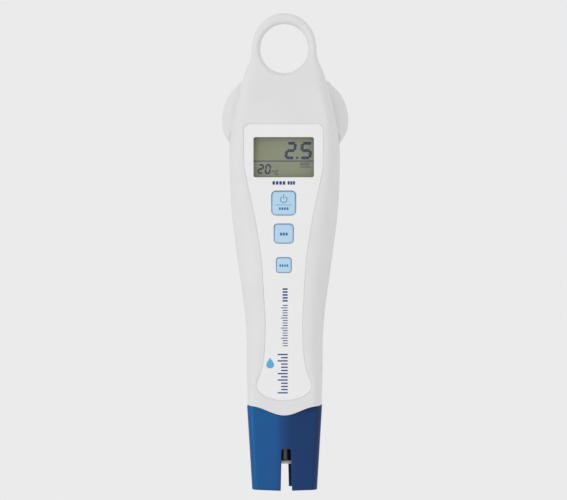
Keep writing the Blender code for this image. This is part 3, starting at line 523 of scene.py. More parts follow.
def flared(outline, surface, radius, floor, way, drop=None):
    """Guide solid of a recess or opening whose rim is rounded over.

    outline(margin) gives (x, z) points and surface(x, z) the face's depth.  floor is the depth
    that it reaches, as a number or a function, and way is -1 for a face towards -Y and 1 for one
    towards +Y.  With a drop the rounding is elliptical, the outline starts at its foot and is
    symmetrical, and the floor may be curved.
    """
    first = radians(16)
    lift = 0.12
    deep = drop or radius
    outside = radius * (1 - sin(first)) + lift * radius / deep / tan(first)
    steps = [(radius * (1 - sin(a)), deep * (1 - cos(a))) for a in spaced(first, pi / 2, 6)]
    rings = [[(x, way * 30.0, z) for x, z in outline(outside)]]
    above = deep * (1 - cos(first)) - lift
    for margin, depth in [(outside, above)] + steps:
        rings.append([(x, surface(x, z) - way * depth, z) for x, z in outline(margin)])
    rings.append([(x, floor(x, z) if callable(floor) else floor, z) for x, z in outline(0.0)])
    bm = loft(rings)
    if drop:
        bm.faces.ensure_lookup_table()
        bm.faces.remove(bm.faces[1])
        ring = list(bm.verts)[-len(rings[-1]):]
        count = len(ring)
        bm.faces.new((ring[0], ring[1], ring[-1]))
        for i in range(1, count // 2):
            bm.faces.new((ring[i], ring[i + 1], ring[count - i - 1], ring[count - i]))
    return bm


def two_sheets(rows):
    """Closed solid from rows of (front, back) half lines with x from 0 up, mirrored in x."""
    bm = bmesh.new()
    for side in (1, -1):
        front, back = ([[bm.verts.new((side * x, y, z)) for x, y, z in row[which]] for row in rows]
                       for which in (0, 1))
        strips = list(zip(front, front[1:])) + list(zip(back, back[1:]))
        strips += [(front[end], back[end]) for end in (0, -1)]
        for low, high in strips:
            for k in range(len(low) - 1):
                bm.faces.new((low[k], low[k + 1], high[k + 1], high[k]))
    bmesh.ops.remove_doubles(bm, verts=bm.verts, dist=0.0001)
    bmesh.ops.triangulate(bm, faces=bm.faces)
    return bm


# ---- casing

def ellipse_x(z, axes):
    """Half-width of one of the loop's ellipses at a height."""
    return axes[0] * sqrt(max(1 - ((z - LOOP_Z) / axes[1]) ** 2, 0.0))


def loop_share(x, z, axes):
    """Share of the way from one of the loop's ellipses (0) to the crest of its band (1)."""
    across = x / axes[0]
    along = (z - LOOP_Z) / axes[1]
    reach = sqrt(across * across + along * along)
    side, top = (crest / axis for crest, axis in zip(CREST_AXES, axes))
    return (1 - reach) / (1 - side - (top - side) * (along / reach) ** 2)


def shoulder_line(x):
    """Height of the wavy joint between the casing and the shroud."""
    if abs(x) >= SHROUD_DIP_HALF:
        return SHROUD_TOP
    return SHROUD_TOP - SHROUD_DIP * (0.5 + 0.5 * cos(pi * x / SHROUD_DIP_HALF))


JOINT_HALF = 0.06
CASING_FOOT = SHROUD_TOP + JOINT_HALF
FOOT_ROUNDED = CASING_FOOT + FOOT_FILLET + 1.0
WAVE_REACH = 9.0


def waved(line, z):
    """Points of a level line, moved down to follow the wavy foot of the casing."""
    share = 1 - fade(CASING_FOOT, CASING_FOOT + WAVE_REACH, z)
    return [(x, y, z + share * (shoulder_line(x) - SHROUD_TOP)) for x, y in line]


def face_y(x, z):
    """Depth of the casing's front face."""
    return -smooth(FRONT_DEPTH, z)


def front_lines(z, inset):
    """Right half of the front shell at a height: its front line and its back line."""
    in_loop = z > LOOP_Z
    wide = (ellipse_x(z, OUTLINE_AXES) if in_loop else smooth(HALF_WIDTH, z)) - inset
    crest = max(ellipse_x(z, CREST_AXES) if in_loop else smooth(FLAT_FRONT, z), 0.4 * wide)
    hole = ellipse_x(z, HOLE_AXES)
    widest = smooth(WIDEST_Y, z)
    depth = widest - face_y(0, z) - inset
    rim_y = min(PARTING_Y - GAP / 2 - PARTING_FILLET, widest)
    rear_y = smooth(REAR_PLANE, z)
    inner = min(1.55, 0.97 * (crest - hole))
    power = CORNER_ROUNDING

    def columns(start):
        near = [hole + inner * (1 - cos(a)) for a in quarter(7)]
        return near + spaced(hole + inner, start, 9)[1:-1]

    def height(x, rim, start, power=2.0):
        share = loop_share(x, z, OUTLINE_AXES) if in_loop else (rim - x) / (rim - start)
        result = round_over(share, power)
        if hole or z > LOOP_Z - CREST_AXES[1]:
            result *= round_over(loop_share(x, z, HOLE_AXES), power)
        return result

    stop = acos(min((widest - rim_y) / depth, 1.0) ** (power / 2))
    xs = columns(crest)
    xs += [crest + (wide - crest) * sin(a) ** (2 / power) for a in spaced(0.0, stop, 15)]
    front = [(x, widest - depth * height(x, wide, crest, power)) for x in xs]
    edge = xs[-1]
    start = crest if in_loop else edge - smooth(REAR_EDGE, z)
    xs = columns(start) + [start + (edge - start) * sin(a) for a in quarter(15)]
    back = [(x, rim_y + (rear_y - rim_y) * height(x, edge, start)) for x in xs]
    front[-1] = back[-1] = (edge, rim_y)
    return waved(front, z), waved(back, z)


def fillet_rows(edge, way, radius, count=5):
    """(height, inset) of the rows that round a horizontal edge, from the edge on."""
    return [(edge + way * radius * (1 - cos(a)), radius * (1 - sin(a))) for a in quarter(count)]


def cavity():
    """Guide solid of the space inside the casing."""
    rings = []
    for z in spaced(20.0, CAVITY_TOP, 24):
        width = smooth(HALF_WIDTH, z) - WALL
        flat = min(smooth(FLAT_FRONT, z), width - 1.5)
        corner = superellipse(width - flat, smooth(FRONT_DEPTH, z) - WALL, CORNER_ROUNDING,
                              quarter(9))
        back = superellipse(width, smooth(REAR_DEPTH, z) - WALL, smooth(REAR_ROUNDING, z), quarter(13))
        right = [(flat + x, -y) for x, y in corner] + back[-2::-1]
        rings.append([(x, y, z) for x, y in right + [(-x, y) for x, y in right[-2::-1]]])
    return loft(rings)


def superellipse(width, depth, power, angles):
    """Points of a superellipse at the angles, which start at (0, depth)."""
    return [(width * sin(a) ** (2 / power), depth * max(cos(a), 0.0) ** (2 / power))
            for a in angles]


def label_edge(margin=0.0):
    """Right half of the label's outline from its foot up, as (half-width, height) points."""
    foot_width = LABEL_HALF_WIDTH[0][1] + margin
    foot_drop = LABEL_FOOT_Z - LABEL_BOTTOM + margin
    edge = [(foot_width * sin(a), LABEL_FOOT_Z - foot_drop * cos(a)) for a in quarter(14)]
    top = LABEL_TOP - LABEL_CORNER
    edge += [(smooth(LABEL_HALF_WIDTH, z) + margin, z) for z in spaced(LABEL_FOOT_Z, top, 60)[1:]]
    middle = LABEL_HALF_WIDTH[-1][1] - LABEL_CORNER
    radius = LABEL_CORNER + margin
    edge += [(middle + radius * cos(a), top + radius * sin(a)) for a in quarter(9)[1:]]
    return edge


SEAM = 0.05
KEY_SEAM = 0.06
LABEL_SHOWN = 0.07


def label_outline(margin):
    """Closed outline of the label's recess."""
    right = label_edge(margin + SEAM)
    return right + [(-x, z) for x, z in reversed(right[1:])]


def openings(margin, corner, seam, window_floor, key_floor, shift=0.0):
    """Guide solids of the display's and the keys' openings."""
    window = rounded(WINDOW_HALF_X + margin, WINDOW_HALF_Z + margin, corner, (0, WINDOW_Z + shift))
    keys = [rounded(side / 2 + seam, side / 2 + seam, side * 0.2, (0, z)) for _, z, side in KEYS]
    return [plate(window, -30.0, window_floor)] + [plate(key, -30.0, key_floor) for key in keys]


def front_shell():
    """Front shell with its hanging loop, label recess, display and key openings."""
    hole_low = LOOP_Z - HOLE_AXES[1]
    hole_high = LOOP_Z + HOLE_AXES[1]
    band = CREST_AXES[1] - HOLE_AXES[1]
    cap = OUTLINE_AXES[1] - CREST_AXES[1]
    rows = fillet_rows(CASING_FOOT, 1, FOOT_FILLET, 6)
    heights = spaced(FOOT_ROUNDED, 144.0, 78) + spaced(145.2, 154.6, 10)
    heights += [hole_low - band * (1 - cos(a)) for a in reversed(quarter(10))]
    heights += [LOOP_Z - HOLE_AXES[1] * cos(a) for a in spaced(0.0, pi, 49)[1:]]
    heights += [hole_high + band * (1 - cos(a)) for a in quarter(9)[1:]]
    heights += [LOOP_Z + OUTLINE_AXES[1] - cap * (1 - cos(a)) for a in reversed(quarter(10)[:-1])]
    rows += [(z, 0.0) for z in heights]
    body = two_sheets([front_lines(z, inset) for z, inset in rows])
    pocket = loft([[(-16.5, face_y(0, z) + WALL, z), (16.5, face_y(0, z) + WALL, z),
                    (16.5, PARTING_Y - 1.9, z), (-16.5, PARTING_Y - 1.9, z)]
                   for z in (125.7, 132.0, 138.5)])
    steps = [cavity(), pocket]
    for x, z, _, tip in CASING_SCREWS:
        post = ((CASING_BOSS, tip - 0.9), (CASING_BOSS, PARTING_Y - GAP / 2))
        steps.append(("UNION", turned(post, (x, z), "Y", 32)))
        steps.append(turned(((1.35, tip - 0.3), (1.35, 0.0)), (x, z), "Y", 24))
    steps.append(flared(label_outline, face_y, 0.45, lambda x, z: face_y(x, z) + RECESS_DEPTH, -1,
                        LABEL_SHOWN))
    steps += openings(0.8, 1.2, GAP, PANEL_HIGH.y, KEY_TIP_Y)
    part("front_shell", body, "shell_white", "front_housing", steps)


def clipped(flat, wide, front, widest, rear, powers, clip):
    """Right half of a section whose front is cut flat at a depth: its front and back lines."""
    front_power, rear_power = powers
    depth = front + widest
    level = max(clip, widest - 0.93 * depth)
    fillet = min(PARTING_FILLET, 0.2 * wide, 0.4 * (widest - level))
    share = max(widest - level - fillet, 0.0) / depth if depth else 0.0
    turn = acos(min(share, 1.0) ** (front_power / 2))
    corner = flat + (wide - flat) * sin(turn) ** (2 / front_power)
    join = min(0.75 * wide, 0.9 * (corner - fillet))
    xs = spaced(0.0, join, 17)
    line = [(x, level) for x in xs]
    line += [(x, level) for x in spaced(join, corner - fillet, 4)[1:]]
    line += [(corner - fillet + fillet * sin(a), level + fillet * (1 - cos(a)))
             for a in quarter(5)[1:]]
    line += [(flat + x, widest - y)
             for x, y in superellipse(wide - flat, depth, front_power, spaced(turn, pi / 2, 8)[1:])]
    back = [(x, widest + (rear - widest) * round_over(1 - x / wide if wide else 1.0, rear_power))
            for x in xs]
    begin = asin(min((join / wide) ** (rear_power / 2), 1.0)) if wide else 0.0
    back += [(x, widest + y) for x, y in superellipse(wide, rear - widest, rear_power,
                                                      spaced(begin, pi / 2, 15)[1:])]
    line[-1] = back[-1] = (wide, widest)
    return line, back


def rear_surface(x, z):
    """Depth of the casing's back at a point."""
    share = min(abs(x) / smooth(HALF_WIDTH, z), 1.0)
    return smooth(REAR_DEPTH, z) * round_over(1 - share, smooth(REAR_ROUNDING, z))


def rear_lines(z, inset):
    """Right half of the rear shell at a height."""
    wide = smooth(HALF_WIDTH, z) - inset
    flat = min(smooth(FLAT_FRONT, z), wide - 1.5)
    line, back = clipped(flat, wide, smooth(FRONT_DEPTH, z) - inset, 0.0,
                         smooth(REAR_DEPTH, z) - inset,
                         (CORNER_ROUNDING, smooth(REAR_ROUNDING, z)), PARTING_Y + GAP / 2 + inset)
    return waved(line, z), waved(back, z)


def tab_outline(margin):
    """Outline of the seat for the cap's tab, open beyond the cap's seam."""
    half = TAB_HALF_WIDTH + GAP + margin
    low = TAB_BOTTOM - GAP - margin
    high = CAP_SEAM_Z + 2.5
    return rounded(half, (high - low) / 2, 0.4 + margin, (0, (high + low) / 2), 5)


def rear_shell():
    """Rear shell: battery tube seat, screw bosses, seat for the cap's tab."""
    top = CAP_SEAM_Z - GAP / 2
    rows = fillet_rows(CASING_FOOT, 1, FOOT_FILLET, 6)
    rows += [(z, 0.0) for z in spaced(FOOT_ROUNDED, top - 1.0, 72)]
    rows += reversed(fillet_rows(top, -1, PARTING_FILLET))
    body = two_sheets([rear_lines(z, inset) for z, inset in rows])
    pad = box((-9.3, BATTERY_Y + TUBE_RADIUS + GAP, 107.7), (9.3, 14.6, 129.5))
    seat = turned(((TUBE_RADIUS + GAP, 120), (TUBE_RADIUS + GAP, NECK_BOTTOM - GAP),
                   (NECK_RADIUS + GAP, NECK_BOTTOM - GAP), (NECK_RADIUS + GAP, 140)),
                  (0, BATTERY_Y))
    steps = [cavity(), ("UNION", pad), seat]
    for x, z, floor, tip in CASING_SCREWS:
        far = rear_surface(abs(x) + CASING_BOSS, z) - 0.4
        post = ((CASING_BOSS, PARTING_Y + GAP / 2 + 0.02), (CASING_BOSS, far))

        def rim(margin, x=x, z=z):
            return [(x + u, z + v) for u, v in circle(2.4 + margin, 40)]

        steps += [("UNION", turned(post, (x, z), "Y", 32)), flared(rim, rear_surface, 0.3, floor, 1),
                  turned(((1.35, tip), (1.35, floor + 1.0)), (x, z), "Y", 24)]
    steps.append(flared(tab_outline, rear_surface, 0.25, TAB_INNER_Y - GAP, 1))
    thread = ((SCREW_SHANK + GAP, 9.0), (SCREW_SHANK + GAP, 20.0))
    steps.append(turned(thread, (0, SCREW_Z), "Y", 24))
    part("rear_shell", body, "shell_white", "rear_housing", steps)


def label_sheet():
    """Printed front sheet, open at the display and at each key."""
    rows = []
    for wide, z in label_edge():
        front = face_y(0, z) + LABEL_SHOWN
        rear = face_y(0, z) + LABEL_BACK
        line = [(x, front, z) for x in spaced(0.0, max(wide - 0.07, 0.0), 13)]
        line += [(wide, front + 0.07, z), (wide, rear, z)]
        rows.append((line, [(x, rear, z) for x in spaced(0.0, wide, 15)]))
    steps = openings(-0.2, 0.75, KEY_SEAM, 0.0, 0.0, -0.2)
    part("label_sheet", two_sheets(rows), "label_white", "label_overlay", steps)


# ---- display

def marks(name, outlines, look, surface, low, high, body="casing"):
    """Thin solids of several (x, z) outlines, from low to high behind a surface's depth."""
    whole = bmesh.new()
    for outline in outlines:
        near, far = ([whole.verts.new((x, surface(x, z) + step, z)) for x, z in outline]
                     for step in (low, high))
        whole.faces.new(near)
        whole.faces.new(far)
        for i in range(len(outline)):
            j = (i + 1) % len(outline)
            whole.faces.new((near[i], near[j], far[j], far[i]))
    finished(mesh_object(name, whole), look, body)


def bar(x0, z0, x1, z1, width):
    """Outline of a bar with pointed ends between two points, as on a segment display."""
    start, end = Vector((x0, z0)), Vector((x1, z1))
    along = (end - start).normalized() * width / 6
    across = Vector((-along.y, along.x)) * 3
    corners = (start, start + along + across, end - along + across, end,
               end - along - across, start + along - across)
    return [(p.x, p.y) for p in corners]


def arc_band(centre, radius, width, start, end, count=20):
    """Outline of a curved stroke."""
    angles = spaced(start, end, count)
    backwards = spaced(end, start, count)
    return [(centre[0] + reach * cos(a), centre[1] + reach * sin(a))
            for reach, turns in ((radius + width / 2, angles), (radius - width / 2, backwards))
            for a in turns]


DIGIT_SLANT = 0.13
SEGMENTS = {"0": "abcdef", "2": "abged", "5": "afgcd"}
SEGMENT_ENDS = {"a": ((0, 1), (1, 1)), "b": ((1, 1), (1, 0.5)), "c": ((1, 0.5), (1, 0)),
                "d": ((1, 0), (0, 0)), "e": ((0, 0), (0, 0.5)), "f": ((0, 0.5), (0, 1)),
                "g": ((0, 0.5), (1, 0.5))}


def digit(figure, left, low, height, width, thick):
    """Segment outlines of one slanted figure."""
    result = []
    for segment in SEGMENTS[figure]:
        points = []
        for across, up in SEGMENT_ENDS[segment]:
            z = low + thick / 2 + up * (height - thick)
            x = left + thick / 2 + across * (width - thick) + DIGIT_SLANT * (z - low)
            points.append((x, z))
        (x0, z0), (x1, z1) = points
        gap = Vector((x1 - x0, z1 - z0)).normalized() * thick * 0.12
        result.append(bar(x0 + gap.x, z0 + gap.y, x1 - gap.x, z1 - gap.y, thick))
    return result


def display():
    """Window, liquid crystal panel and what it shows."""
    rings = []
    for inset, y in ((0.12, LENS_LOW.y), (0.035, LENS_LOW.y + 0.035), (0.0, LENS_LOW.y + 0.12),
                     (0.0, LENS_HIGH.y - 0.05), (0.05, LENS_HIGH.y)):
        reach = 0.5 - inset
        outline = rounded(WINDOW_HALF_X + reach, WINDOW_HALF_Z + reach, 0.4 + reach, (0, WINDOW_Z))
        rings.append([(x, y, z) for x, z in outline])
    part("window_lens", loft(rings), "lens_clear", "display_lens")
    panel = rounded(WINDOW_HALF_X + 1.4, WINDOW_HALF_Z + 1.6, 0.2, (0, WINDOW_Z), 3)
    part("panel_glass", plate(panel, PANEL_LOW.y, PANEL_HIGH.y), "lcd_green", "lcd_panel")
    large = digit("2", 0.15, WINDOW_Z - 0.9, 6.5, 4.0, 1.05)
    large += digit("5", 5.75, WINDOW_Z - 0.9, 6.5, 4.4, 1.05)
    large.append(rounded(0.42, 0.36, 0.1, (4.95, WINDOW_Z - 0.35), 2))
    small = digit("2", -10.0, WINDOW_Z - 6.4, 3.7, 2.2, 0.62)
    small += digit("0", -7.3, WINDOW_Z - 6.4, 3.7, 2.2, 0.62)
    rule = [rounded(WINDOW_HALF_X - 0.1, 0.17, 0.05, (0, WINDOW_Z - 1.55), 1)]
    unit = [arc_band((-2.5, WINDOW_Z - 5.85), 0.66, 0.36, radians(50), radians(310), 9)]
    unit.append([(-3.95 + u, WINDOW_Z - 5.35 + v) for u, v in circle(0.32, 12)])
    for k in range(5):
        left = 6.4 + 0.72 * k
        unit += [rounded(0.2, 0.6, 0.08, (left, WINDOW_Z - 2.7), 1),
                 rounded(0.3, 0.18, 0.08, (left + 0.1, WINDOW_Z - 3.85), 1)]
    for name, outlines, look in (("display_value", large + small, SEGMENT),
                                 ("display_rule", rule, SEGMENT),
                                 ("display_units", unit, SEGMENT_PALE)):
        marks(name, outlines, look, lambda x, z: PANEL_LOW.y, -0.04, 0.05)


# ---- keys and print

def key_crown(name, z, side):
    """Push key: softly crowned cap, retaining lip behind the wall, plunger."""
    half = side / 2
    face = face_y(0, z) - KEY_PROUD + LABEL_FRONT
    lip = face_y(0, z - half) + WALL + GAP
    steps = [(half * share, share, face + 0.10 * share ** 2) for share in (0.05, 0.3, 0.55, 0.72)]
    shoulder = 0.75
    flat = half - shoulder
    steps += [(flat + shoulder * sin(a), 1.0, face + 0.06 + shoulder * (1 - cos(a)))
              for a in spaced(0.25, pi / 2, 8)]
    steps += [(half, 1.0, lip), (half + KEY_LIP, 1.0, lip), (half + KEY_LIP, 1.0, lip + 0.6),
              (PLUNGER_HALF, 0.5, lip + 0.6), (PLUNGER_HALF, 0.5, KEY_TIP_Y)]
    rings = []
    for size, share, y in steps:
        radius = min(side * 0.2 * (0.4 + 0.6 * share), size * 0.9)
        rings.append([(x, y, height) for x, height in rounded(size, size, radius, (0, z))])
    part(f"key_crown_{name}", loft(rings), "key_blue", f"key_{name}", (), f"{name}_key",
         key_silicone_painted_rim_shade(name, z, half), 50.0)
    return face


def key_marks(faces):
    """Generic signs on the keys: power sign with its rule, and plain blocks."""
    z, cal_z, units_z = (height for _, height, _ in KEYS)
    sign = [arc_band((0, z + 1.35), 1.2, 0.36, radians(125), radians(415)),
            rounded(0.18, 0.8, 0.1, (0, z + 2.4), 2), rounded(3.1, 0.1, 0.05, (0, z - 0.7), 1)]
    for name, key, outlines, look in (
            ("key_sign_power", "power", sign, KEY_MARK),
            ("key_print_power", "power", blocks(-1.75, z - 2.1, 4, (0.32, 0.5), 0.95), KEY_INK),
            ("key_print_cal", "cal", blocks(-1.45, cal_z - 0.2, 3, (0.4, 0.55)), KEY_INK),
            ("key_print_units", "units", blocks(-1.65, units_z - 0.2, 4, (0.3, 0.45), 0.9), KEY_INK)):
        marks(name, outlines, look, lambda x, z, face=faces[key]: face, -0.012, 0.14, f"{key}_key")


def printed(name, outlines, look):
    """Ink on the label sheet, following its slope."""
    marks(name, outlines, look, face_y, LABEL_SHOWN - 0.025, LABEL_SHOWN + 0.06)


def droplet(centre, size, count=28):
    """Outline of a plump water drop."""
    return [(centre[0] + size * sin(a) * sin(a / 2) ** 1.3, centre[1] + size * cos(a))
            for a in (2 * pi * i / count for i in range(count))]


def blocks(left, z, count, half, step=1.05):
    """Row of small plain blocks, in place of a printed word."""
    return [rounded(half[0], half[1], 0.2, (left + half[0] + step * k, z), 2)
            for k in range(count)]


def strokes(low, high, step, thick, lengths):
    """Column of plain strokes that start from one line, in place of a word printed upwards."""
    reaches = [lengths[k % len(lengths)] / 2 for k in range(int((high - low) / step) + 1)]
    return [rounded(reach, thick / 2, 0.1, (1.4 - reach, low + step * k), 2)
            for k, reach in enumerate(reaches)]


def label_print():
    """Generic print: rows of blocks under the display, and strokes and a drop lower down."""
    words = blocks(-4.2, WINDOW_Z - 9.8, 4, (0.48, 0.66), 1.28)
    words += blocks(1.45, WINDOW_Z - 9.8, 3, (0.4, 0.66), 1.0)
    printed("label_blocks", words, INK)
    large = strokes(37.1, 51.6, 1.2, 0.5, (3.8, 2.5, 2.5, 2.5, 3.8, 2.5))
    small = strokes(54.8, 70.0, 0.95, 0.34, (1.9, 1.9, 1.9, 2.5))
    bold = strokes(71.7, 76.2, 1.1, 0.62, (1.9, 1.9))
    printed("label_strokes", large + small + bold, INK)
    printed("label_drop", [droplet((-5.2, 48.3), 2.0)], DROP_LIGHT)
    printed("label_drop_shade", [arc_band((-5.2, 47.7), 1.0, 0.5, radians(115), radians(235), 12)],
            KEY_INK)


# ---- battery and cap

def battery():
    """Battery tube, its neck with the seal ring, and the cell."""
    axis = (0.0, BATTERY_Y)
    low, high = node_box("battery_tube")
    outside = [(TUBE_RADIUS, low.z), (TUBE_RADIUS, NECK_BOTTOM), (NECK_RADIUS, NECK_BOTTOM),
               (NECK_RADIUS, 134.0), (6.5, 134.0), (6.5, 135.8), (NECK_RADIUS, 135.8),
               (NECK_RADIUS, high.z - 0.3), (NECK_RADIUS - 0.3, high.z)]
    inside = [(TUBE_BORE + 0.3, high.z), (TUBE_BORE, high.z - 0.3), (TUBE_BORE, low.z + 1.5),
              (0.02, low.z + 1.5)]
    profile = [(0.02, low.z)] + softened(outside, 0.12) + softened(inside, 0.12)
    part("battery_neck", turned(profile, axis), "inner_plastic", "battery_tube")
    section = [(7.12 + a, 134.9 + b) for a, b in circle(0.52, 20)]
    part("neck_ring", ring_of(section, axis), "seal_rubber", "cap_seal_ring")
    low, high = node_box("battery_cell")
    radius = (high.x - low.x) / 2
    can = [(0.02, low.z), (1.9, low.z), (1.9, low.z + 0.8), (radius - 0.4, low.z + 0.8),
           (radius, low.z + 1.2), (radius, high.z - 0.3), (radius - 0.3, high.z), (0.02, high.z)]
    part("cell_can", turned(softened(can, 0.12), axis), "cell_sleeve", "battery_cell")


def cap_lines(z, inset, scale=1.0):
    """Right half of the battery cap at a height."""
    at = min(z, CAP_DOME_Z)
    widest = smooth(CAP_WIDEST_Y, z)
    wide = (smooth(CAP_HALF_WIDTH, at) - inset) * scale
    front = (smooth(CAP_FRONT, at) + widest - inset) * scale - widest
    rear = widest + (smooth(CAP_REAR, at) - widest - inset) * scale
    line, back = clipped(0.0, wide, front, widest, rear, (smooth(CAP_FRONT_ROUNDING, z), 2.5),
                         PARTING_Y + GAP + inset)
    return [(x, y, z) for x, y in line], [(x, y, z) for x, y in back]


def cap_tab():
    """Tab of the cap, with softened edges, its outer face flush with the casing."""
    fillet = 0.25
    edge = [fillet * (1 - cos(a)) for a in quarter(5)]
    inner = TAB_HALF_WIDTH - fillet
    xs = [e - TAB_HALF_WIDTH for e in edge] + spaced(-inner, inner, 21)[1:-1]
    xs += [TAB_HALF_WIDTH - e for e in reversed(edge)]
    rings = []
    for z in [TAB_BOTTOM + e for e in edge] + spaced(TAB_BOTTOM + fillet, CAP_SEAM_Z + 2.0, 16)[1:]:
        ring = [(TAB_HALF_WIDTH, TAB_INNER_Y, z), (-TAB_HALF_WIDTH, TAB_INNER_Y, z)]
        for x in xs:
            near = min(TAB_HALF_WIDTH - abs(x), z - TAB_BOTTOM)
            ring.append((x, rear_surface(x, z) - fillet * (1 - round_over(near / fillet)), z))
        rings.append(ring)
    return loft(rings)


def cap_shell():
    """Rear cap of the head, with round ears and the tab for the lock screw."""
    low = CAP_SEAM_Z + GAP / 2
    rows = [cap_lines(z, inset) for z, inset in fillet_rows(low, 1, PARTING_FILLET)]
    rows += [cap_lines(z, 0.0) for z in spaced(low + 0.8, CAP_DOME_Z, 30)]
    rise = CAP_TOP - CAP_DOME_Z
    rows += [cap_lines(CAP_DOME_Z + rise * sin(a), 0.0, cos(a)) for a in quarter(12)[1:-1]]
    rows.append(cap_lines(CAP_TOP, 0.0, 0.0))
    bore = turned(((CAP_BORE, 125), (CAP_BORE, CAP_BORE_TOP)), (0, BATTERY_Y))
    steps = [("UNION", cap_tab()), bore]
    for x in (-15.4, 15.4):
        steps.append(turned(((5.2, 125), (5.2, 144), (4.2, 147)), (x, 5.2), "Z", 40))
    slot = rounded(1.6, 8.0, 1.5, (0, SCREW_Z + 1.6 - 8.0), 8)

    def channel(margin):
        return rounded(3.75 + margin, 12.0 + margin, 3.6 + margin, (0, SCREW_Z + 3.75 - 12.0), 12)

    steps += [plate(slot, 10.0, 30.0), flared(channel, rear_surface, 0.3, CHANNEL_FLOOR_Y, 1)]
    part("cap_shell", two_sheets(rows), "shell_white", "battery_cap", steps, "battery_cap_body")


def cap_coil():
    """Conical contact spring in the cap."""
    low, high = node_box("cap_spring")
    turns, thickness = 4.0, 0.4
    rings = []
    for share in spaced(0.0, 1.0, 161):
        angle = 2 * pi * turns * share
        radius = 3.0 + 2.2 * share
        height = low.z + thickness + (high.z - low.z - 2 * thickness) * share
        rings.append([((radius + a) * cos(angle), BATTERY_Y + (radius + a) * sin(angle), height + b)
                      for a, b in circle(thickness, 12)])
    part("cap_coil", loft(rings), "plated_steel", "cap_spring", (), "battery_cap_body")


def screws():
    """Lock screw with its washer, and the four casing screws."""
    axis = (0.0, SCREW_Z)
    near, far = SCREW_HEAD_Y
    low, _ = node_box("lock_screw")
    profile = [(0.02, low.y), (0.7, low.y)]
    pitch = 0.5
    turn = low.y + 0.3
    while turn < near - 1.0:
        profile += [(SCREW_SHANK - 0.22, turn), (SCREW_SHANK, turn + pitch / 2)]
        turn += pitch
    head = [(SCREW_SHANK, near), (SCREW_HEAD, near), (SCREW_HEAD, far), (0.02, far)]
    profile += [(SCREW_SHANK - 0.1, near)] + softened(head, 0.32, 5)
    slot = box((-0.5, far - 0.7, SCREW_Z - 5), (0.5, far + 3, SCREW_Z + 5))
    part("coin_screw", turned(profile, axis, "Y", 72), "plated_steel", "lock_screw", [slot],
         "lock_screw_body")
    inner, outer = SCREW_SHANK + GAP, 3.0
    low_y, high_y = WASHER_Y
    section = [(inner, low_y), (outer - 0.12, low_y), (outer, low_y + 0.12), (outer, high_y - 0.12),
               (outer - 0.12, high_y), (inner, high_y)]
    part("screw_washer", ring_of(section, axis, "Y"), "seal_rubber", "lock_screw_washer", (),
         "lock_screw_carrier")
    for x, z, floor, tip in CASING_SCREWS:
        node = f"casing_screw_{'lower' if z < 80 else 'upper'}_{'left' if x < 0 else 'right'}"
        head = floor + GAP
        profile = [(0.02, tip), (0.9, tip), (1.05, tip + 0.4), (1.05, head), (2.1, head),
                   (2.1, head + 1.1), (1.5, head + 1.6), (0.02, head + 1.6)]
        cross = [box((x - a, head + 0.9, z - b), (x + a, head + 5, z + b))
                 for a, b in ((0.3, 1.2), (1.2, 0.3))]
        part(f"{node}_fine", turned(softened(profile, 0.12), (x, z), "Y", 40), "plated_steel", node,
             cross)


# ---- shroud and probe

def ridged_section(size, inset=0.0, count=168):
    """Six-sided section with a blunt ridge at the front and at the back."""
    width, middle, edge = (value - inset for value in size)
    corners = ((0, -middle), (width, -edge), (width, edge), (0, middle), (-width, edge),
               (-width, -edge))
    radii = [RIDGE_RADIUS - inset, EDGE_RADIUS - inset, EDGE_RADIUS - inset] * 2
    outline = rounded_polygon(corners, radii, 16)
    return [(p.x, p.y) for p in even(outline, count)]


def shroud_size(z):
    """Half-width, ridge depth and edge depth of the shroud at a height."""
    share = z / SHROUD_TOP
    return [low + (high - low) * share for low, high in zip(SHROUD_BOTTOM_SIZE, SHROUD_TOP_SIZE)]


def shroud_depth(x, z):
    """Depth of the shroud's front face, read off its section."""
    line = sorted(p for p in ridged_section(shroud_size(z)) if p[1] < 0 and abs(p[0]) < 8)
    for (x0, y0), (x1, y1) in zip(line, line[1:]):
        if x0 <= x <= x1:
            return y0 + (y1 - y0) * (x - x0) / (x1 - x0)
    return line[0][1]


def shroud_sleeve():
    """Open sleeve round the probe, slotted front and back, with a wavy top edge."""
    top = SHROUD_TOP - JOINT_HALF
    fillet = 0.25
    outside = fillet_rows(0.0, 1, fillet)
    outside += [(z, 0.0) for z in spaced(fillet + 1.0, top - fillet - 1.0, 26)]
    outside += reversed(fillet_rows(top, -1, fillet))
    rows = outside + [(z, SHROUD_WALL - inset) for z, inset in reversed(outside)]
    rings = []
    for z, inset in rows:
        share = fade(top - 14.0, top, z)
        rings.append([(x, y, z + share * (shoulder_line(x) - SHROUD_TOP))
                      for x, y in ridged_section(shroud_size(z), inset)])
    steps = []
    for way in (-1, 1):
        def slot(margin, way=way):
            outline = rounded(SLOT_WIDTH / 2 + margin, 10 + margin, 0.8 + margin,
                                        (0, SLOT_TOP - 10), 6)
            return [(-way * SLOT_OFFSET + x * (1 + SLOT_FLARE * (SLOT_TOP - z)), z)
                    for x, z in outline]

        steps.append(flared(slot, lambda x, z, w=way: -w * shroud_depth(x, z), 0.25, way * 3.0, way))
    part("shroud_sleeve", loft(rings, closed=True), "shroud_blue", "probe_shroud", steps, "shroud")


